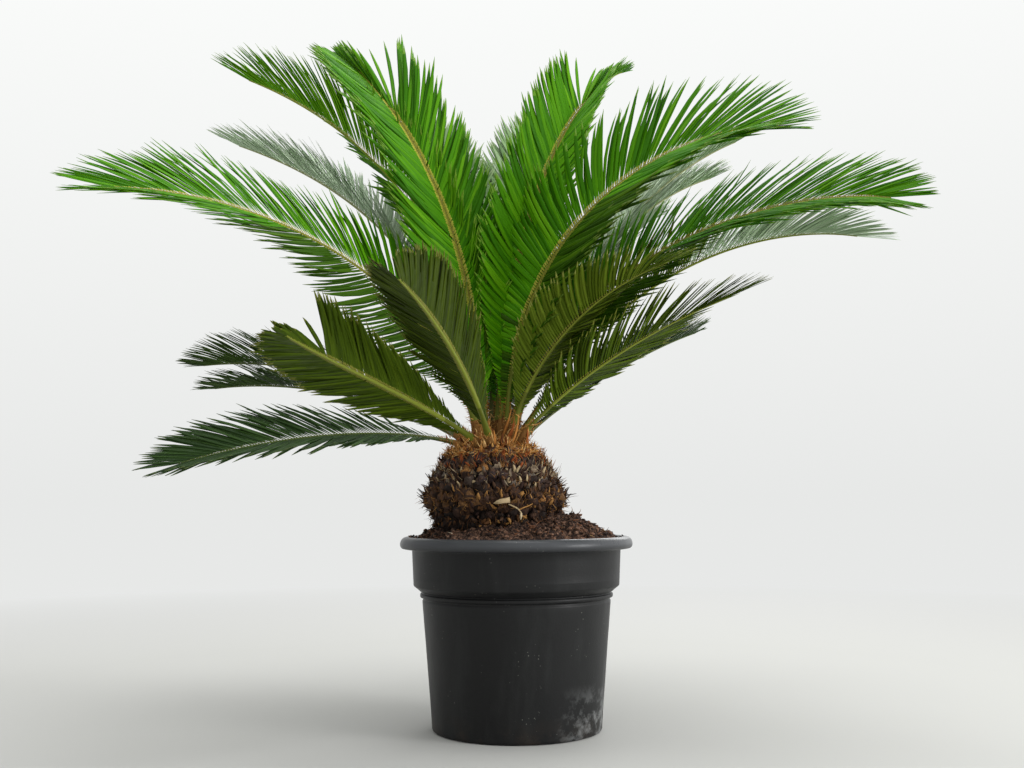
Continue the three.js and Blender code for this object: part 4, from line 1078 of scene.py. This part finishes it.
# bits of fibre and bark
n = 640
r = EDGE_R * 0.95 * np.sqrt(rng.random(n))
ang = rng.uniform(0, 2 * math.pi, n)
x, y = r * np.cos(ang), r * np.sin(ang)
ok = np.hypot(x - STEM_X, y) > 0.100
x, y = x[ok], y[ok]
n = len(x)
d = rng.normal(size=(n, 3)) * np.array([1, 1, 0.22])
strands(soil, np.stack([x, y, soil_z(x, y) + 0.0010], -1), d, rng.uniform(0.004, 0.017, n), rng.uniform(0.0004, 0.0011, n), 0.5, rng,
        rng.choice([3, 1, 2, 4, 5], n, p=[0.30, 0.30, 0.28, 0.10, 0.02]), K=4, sides=4)
ob = soil.build("soil_surface", soil_mats)
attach(ob, BODY)
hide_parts("soil")
print("soil", soil.count())


# ---------------------------------------------------------------------- pot
pot = Heap()
OUT = [(0.0, 0.0), (0.060, 0.0), (0.118, 0.0), (0.1318, 0.0), (0.1335, 0.0), (0.1355, 0.0006), (0.1368, 0.0018), (0.1375, 0.0036), (0.1376, 0.006),
       (0.1392, 0.030), (0.1412, 0.055), (0.1434, 0.082), (0.1456, 0.110), (0.1480, 0.140), (0.1506, 0.170), (0.1527, 0.196),
       (0.1534, 0.2045), (0.1533, 0.2062), (0.1524, 0.2075), (0.1519, 0.2092), (0.1523, 0.2108), (0.1540, 0.2116), (0.1563, 0.2120), (0.1570, 0.2128), (0.1571, 0.2150), (0.1570, 0.2168),
       (0.1561, 0.2178), (0.1546, 0.2186), (0.1541, 0.2197), (0.1549, 0.2209), (0.1572, 0.2217), (0.1584, 0.2228), (0.1606, 0.2248),
       (0.1636, 0.2272), (0.1660, 0.2290), (0.1674, 0.2304), (0.1679, 0.2320), (0.1682, 0.2400), (0.16845, 0.2415), (0.16850, 0.2424), (0.1684, 0.2433),
       (0.1690, 0.2560), (0.1698, 0.2740), (0.1704, 0.2872), (0.1709, 0.2886), (0.1725, 0.2896), (0.1775, 0.2899), (0.1830, 0.2897), (0.1866, 0.2904),
       (0.1886, 0.2921), (0.1897, 0.2944), (0.1900, 0.2970), (0.1897, 0.2998), (0.1886, 0.3030), (0.1866, 0.3058), (0.1838, 0.3078), (0.1806, 0.3088),
       (0.1772, 0.3090), (0.1736, 0.3085), (0.1706, 0.3072), (0.1686, 0.3052), (0.1676, 0.3026), (0.1670, 0.2960), (0.1650, 0.2400),
       (0.1600, 0.2280), (0.1530, 0.2200), (0.1500, 0.2000), (0.1400, 0.0500), (0.1345, 0.0100), (0.1300, 0.0055), (0.0600, 0.0050), (0.0, 0.0050)]
prof = np.array(OUT)
NA = 224
aa = np.arange(NA) * 2 * math.pi / NA
K = len(prof) - 2
Rg = np.repeat(prof[1:-1, 0][:, None], NA, 1)
Hg = np.repeat(prof[1:-1, 1][:, None], NA, 1)
Ag = np.repeat(aa[None], K, 0)
# slightly out of round, as a soft pot is
wob = 1 + 0.0016 * np.cos(2 * Ag + 0.7) * np.clip(Hg / 0.3, 0, 1) + 0.0009 * np.cos(3 * Ag + 2.0) * np.clip(Hg / 0.3, 0, 1)
wob = np.minimum(wob, 1.0015)
V = np.stack([Rg * wob * np.cos(Ag), Rg * wob * np.sin(Ag), Hg], -1).reshape(-1, 3)
i, j = np.meshgrid(np.arange(K - 1), np.arange(NA), indexing="ij")
j2 = (j + 1) % NA
quads = np.stack([i * NA + j, i * NA + j2, (i + 1) * NA + j2, (i + 1) * NA + j], -1).reshape(-1, 4)
V = np.vstack([V, [[0, 0, 0]], [[0, 0, 0.005]]])
j = np.arange(NA)
caps = np.vstack([np.stack([(j + 1) % NA, j, np.full(NA, K * NA)], -1),
                  np.stack([(K - 1) * NA + j, (K - 1) * NA + (j + 1) % NA, np.full(NA, K * NA + 1)], -1)])
pot.add(V, quads, caps, 0, 0)


def pot_material():
    mat = bpy.data.materials.new("pot_plastic")
    mat.use_nodes = True
    nt = mat.node_tree
    L = nt.links.new
    b = nt.nodes["Principled BSDF"]
    b.inputs["Specular IOR Level"].default_value = 0.28
    tc = nt.nodes.new("ShaderNodeTexCoord")

    def noise_node(scale, detail, rough=0.5, stretch=None, distortion=0.0):
        n = nt.nodes.new("ShaderNodeTexNoise")
        n.inputs["Scale"].default_value = scale
        n.inputs["Detail"].default_value = detail
        n.inputs["Roughness"].default_value = rough
        n.inputs["Distortion"].default_value = distortion
        if stretch:
            m = nt.nodes.new("ShaderNodeMapping")
            m.inputs["Scale"].default_value = stretch
            L(tc.outputs["Object"], m.inputs["Vector"])
            L(m.outputs["Vector"], n.inputs["Vector"])
        else:
            L(tc.outputs["Object"], n.inputs["Vector"])
        return n.outputs["Fac"]

    def ramp(src, a, b2, lo=0.0, hi=1.0):
        r = nt.nodes.new("ShaderNodeMapRange")
        r.inputs["From Min"].default_value = a
        r.inputs["From Max"].default_value = b2
        r.inputs["To Min"].default_value = lo
        r.inputs["To Max"].default_value = hi
        L(src, r.inputs["Value"])
        return r.outputs["Result"]

    def math_node(op, x, y):
        m = nt.nodes.new("ShaderNodeMath")
        m.operation = op
        m.use_clamp = True
        for k, v in ((0, x), (1, y)):
            if isinstance(v, (int, float)):
                m.inputs[k].default_value = v
            else:
                L(v, m.inputs[k])
        return m.outputs["Value"]

    def mix(fac, a, b2):
        m = nt.nodes.new("ShaderNodeMix")
        m.data_type = "RGBA"
        if isinstance(fac, (int, float)):
            m.inputs[0].default_value = fac
        else:
            L(fac, m.inputs[0])
        for k, v in ((6, a), (7, b2)):
            if isinstance(v, tuple):
                m.inputs[k].default_value = v
            else:
                L(v, m.inputs[k])
        return m.outputs[2]

    sep = nt.nodes.new("ShaderNodeSeparateXYZ")
    L(tc.outputs["Object"], sep.inputs["Vector"])
    broad = noise_node(7.0, 5.0, 0.6, (1, 1, 0.6))
    col = mix(ramp(broad, 0.35, 0.70), srgb(13, 13, 14), srgb(20, 21, 22))
    # dust that lies in the middle of the body and on the collar, in soft vertical streaks
    streak = noise_node(26.0, 6.0, 0.65, (1, 1, 0.22))
    col = mix(math_node("MULTIPLY", ramp(streak, 0.50, 0.78), 0.17), col, srgb(70, 72, 71))
    # paler rim: painted highlight along its top
    rim = ramp(sep.outputs["Z"], 0.286, 0.300)
    col = mix(math_node("MULTIPLY", rim, 0.66), col, srgb(86, 88, 92))
    # fine pale specks
    vor = nt.nodes.new("ShaderNodeTexVoronoi")
    vor.inputs["Scale"].default_value = 150.0
    L(tc.outputs["Object"], vor.inputs["Vector"])
    dot = ramp(vor.outputs["Distance"], 0.16, 0.09)
    some = ramp(noise_node(22.0, 3.0, 0.6), 0.56, 0.66)
    col = mix(math_node("MULTIPLY", math_node("MULTIPLY", dot, some), 0.50), col, srgb(140, 140, 132))
    # lime and scuffs low on one side, towards +X
    low = ramp(sep.outputs["Z"], 0.085, 0.012)
    east = ramp(sep.outputs["X"], 0.055, 0.125)
    rough_patch = ramp(noise_node(34.0, 8.0, 0.7), 0.47, 0.60)
    scuff = math_node("MULTIPLY", math_node("MULTIPLY", low, east), rough_patch)
    col = mix(math_node("MULTIPLY", scuff, 0.72), col, srgb(158, 160, 160))
    # soil smears near the foot
    foot = math_node("MULTIPLY", ramp(sep.outputs["Z"], 0.040, 0.004), ramp(noise_node(16.0, 7.0, 0.65), 0.46, 0.66))
    col = mix(math_node("MULTIPLY", foot, 0.5), col, srgb(62, 50, 40))
    L(col, b.inputs["Base Color"])
    r = ramp(streak, 0.3, 0.8, 0.40, 0.58)
    r = math_node("SUBTRACT", r, math_node("MULTIPLY", rim, 0.16))
    L(r, b.inputs["Roughness"])
    bp = nt.nodes.new("ShaderNodeBump")
    bp.inputs["Strength"].default_value = 0.25
    bp.inputs["Distance"].default_value = 0.0006
    L(noise_node(320.0, 3.0, 0.6), bp.inputs["Height"])
    L(bp.outputs["Normal"], b.inputs["Normal"])
    return mat


ob = pot.build("pot_shell", [pot_material()])
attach(ob, BODY)
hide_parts("pot")
print("pot", pot.count())

# -------------------------------------------------------------------- stage
me = bpy.data.meshes.new("floor")
S = 9.0
N = 64
ring = [(S * math.cos(2 * math.pi * k / N), S * math.sin(2 * math.pi * k / N), -0.0005) for k in range(N)]
me.from_pydata(ring, [], [tuple(range(N))])
floor = bpy.data.objects.new("floor", me)
bpy.context.scene.collection.objects.link(floor)
fm = principled("floor_pale", (199, 199, 196), 0.9, 0.05)
# far off, the floor passes over into the wall
ft = fm.node_tree
where = ft.nodes.new("ShaderNodeTexCoord")
far = ft.nodes.new("ShaderNodeVectorMath")
far.operation = "LENGTH"
ft.links.new(where.outputs["Object"], far.inputs[0])
fade = ft.nodes.new("ShaderNodeMapRange")
fade.inputs["From Min"].default_value, fade.inputs["From Max"].default_value = 1.2, 3.2
ft.links.new(far.outputs["Value"], fade.inputs["Value"])
glow = ft.nodes.new("ShaderNodeEmission")
glow.inputs["Color"].default_value = (0.93, 0.94, 0.93, 1.0)
glow.inputs["Strength"].default_value = 0.86
both = ft.nodes.new("ShaderNodeMixShader")
ft.links.new(fade.outputs["Result"], both.inputs["Fac"])
ft.links.new(ft.nodes["Principled BSDF"].outputs["BSDF"], both.inputs[1])
ft.links.new(glow.outputs["Emission"], both.inputs[2])
ft.links.new(both.outputs["Shader"], ft.nodes["Material Output"].inputs["Surface"])
me.materials.append(fm)

world = bpy.data.worlds.new("studio")
bpy.context.scene.world = world
world.use_nodes = True
bg = world.node_tree.nodes["Background"]
bg.inputs["Color"].default_value = (0.93, 0.94, 0.93, 1.0)
# the wall behind brightens upwards; the light itself is weaker from the left
wt = world.node_tree
tc = wt.nodes.new("ShaderNodeTexCoord")
sep = wt.nodes.new("ShaderNodeSeparateXYZ")
wt.links.new(tc.outputs["Generated"], sep.inputs["Vector"])


def graded(axis, a, b, lo, hi):
    mr = wt.nodes.new("ShaderNodeMapRange")
    mr.inputs["From Min"].default_value, mr.inputs["From Max"].default_value = a, b
    mr.inputs["To Min"].default_value, mr.inputs["To Max"].default_value = lo, hi
    wt.links.new(sep.outputs[axis], mr.inputs["Value"])
    return mr.outputs["Result"]


path = wt.nodes.new("ShaderNodeLightPath")
pick = wt.nodes.new("ShaderNodeMix")
wt.links.new(path.outputs["Is Camera Ray"], pick.inputs["Factor"])
wt.links.new(graded("X", -1.0, 1.0, 0.50, 1.30), pick.inputs["A"])
wt.links.new(graded("Z", 0.0, 0.40, 0.86, 1.03), pick.inputs["B"])
wt.links.new(pick.outputs["Result"], bg.inputs["Strength"])


def area(name, loc, target, size, watts, color=(1, 1, 1)):
    d = bpy.data.lights.new(name, "AREA")
    d.shape = "DISK"
    d.size = size
    d.energy = watts
    d.color = color
    o = bpy.data.objects.new(name, d)
    o.location = loc
    v = np.array(target, float) - np.array(loc, float)
    from mathutils import Vector
    o.rotation_mode = "QUATERNION"
    o.rotation_quaternion = Vector(v).to_track_quat("-Z", "Y")
    bpy.context.scene.collection.objects.link(o)


area("top_soft", (0.3, 0.5, 3.4), (0, 0, 0.7), 2.2, 44)
area("back_soft", (0.9, 2.9, 2.0), (0, 0, 0.7), 2.0, 22)
area("front_soft", (3.2, -1.5, 1.2), (0, 0, 0.4), 1.5, 52)
sc = bpy.context.scene
sc.view_settings.view_transform = "Standard"
sc.view_settings.look = "None"
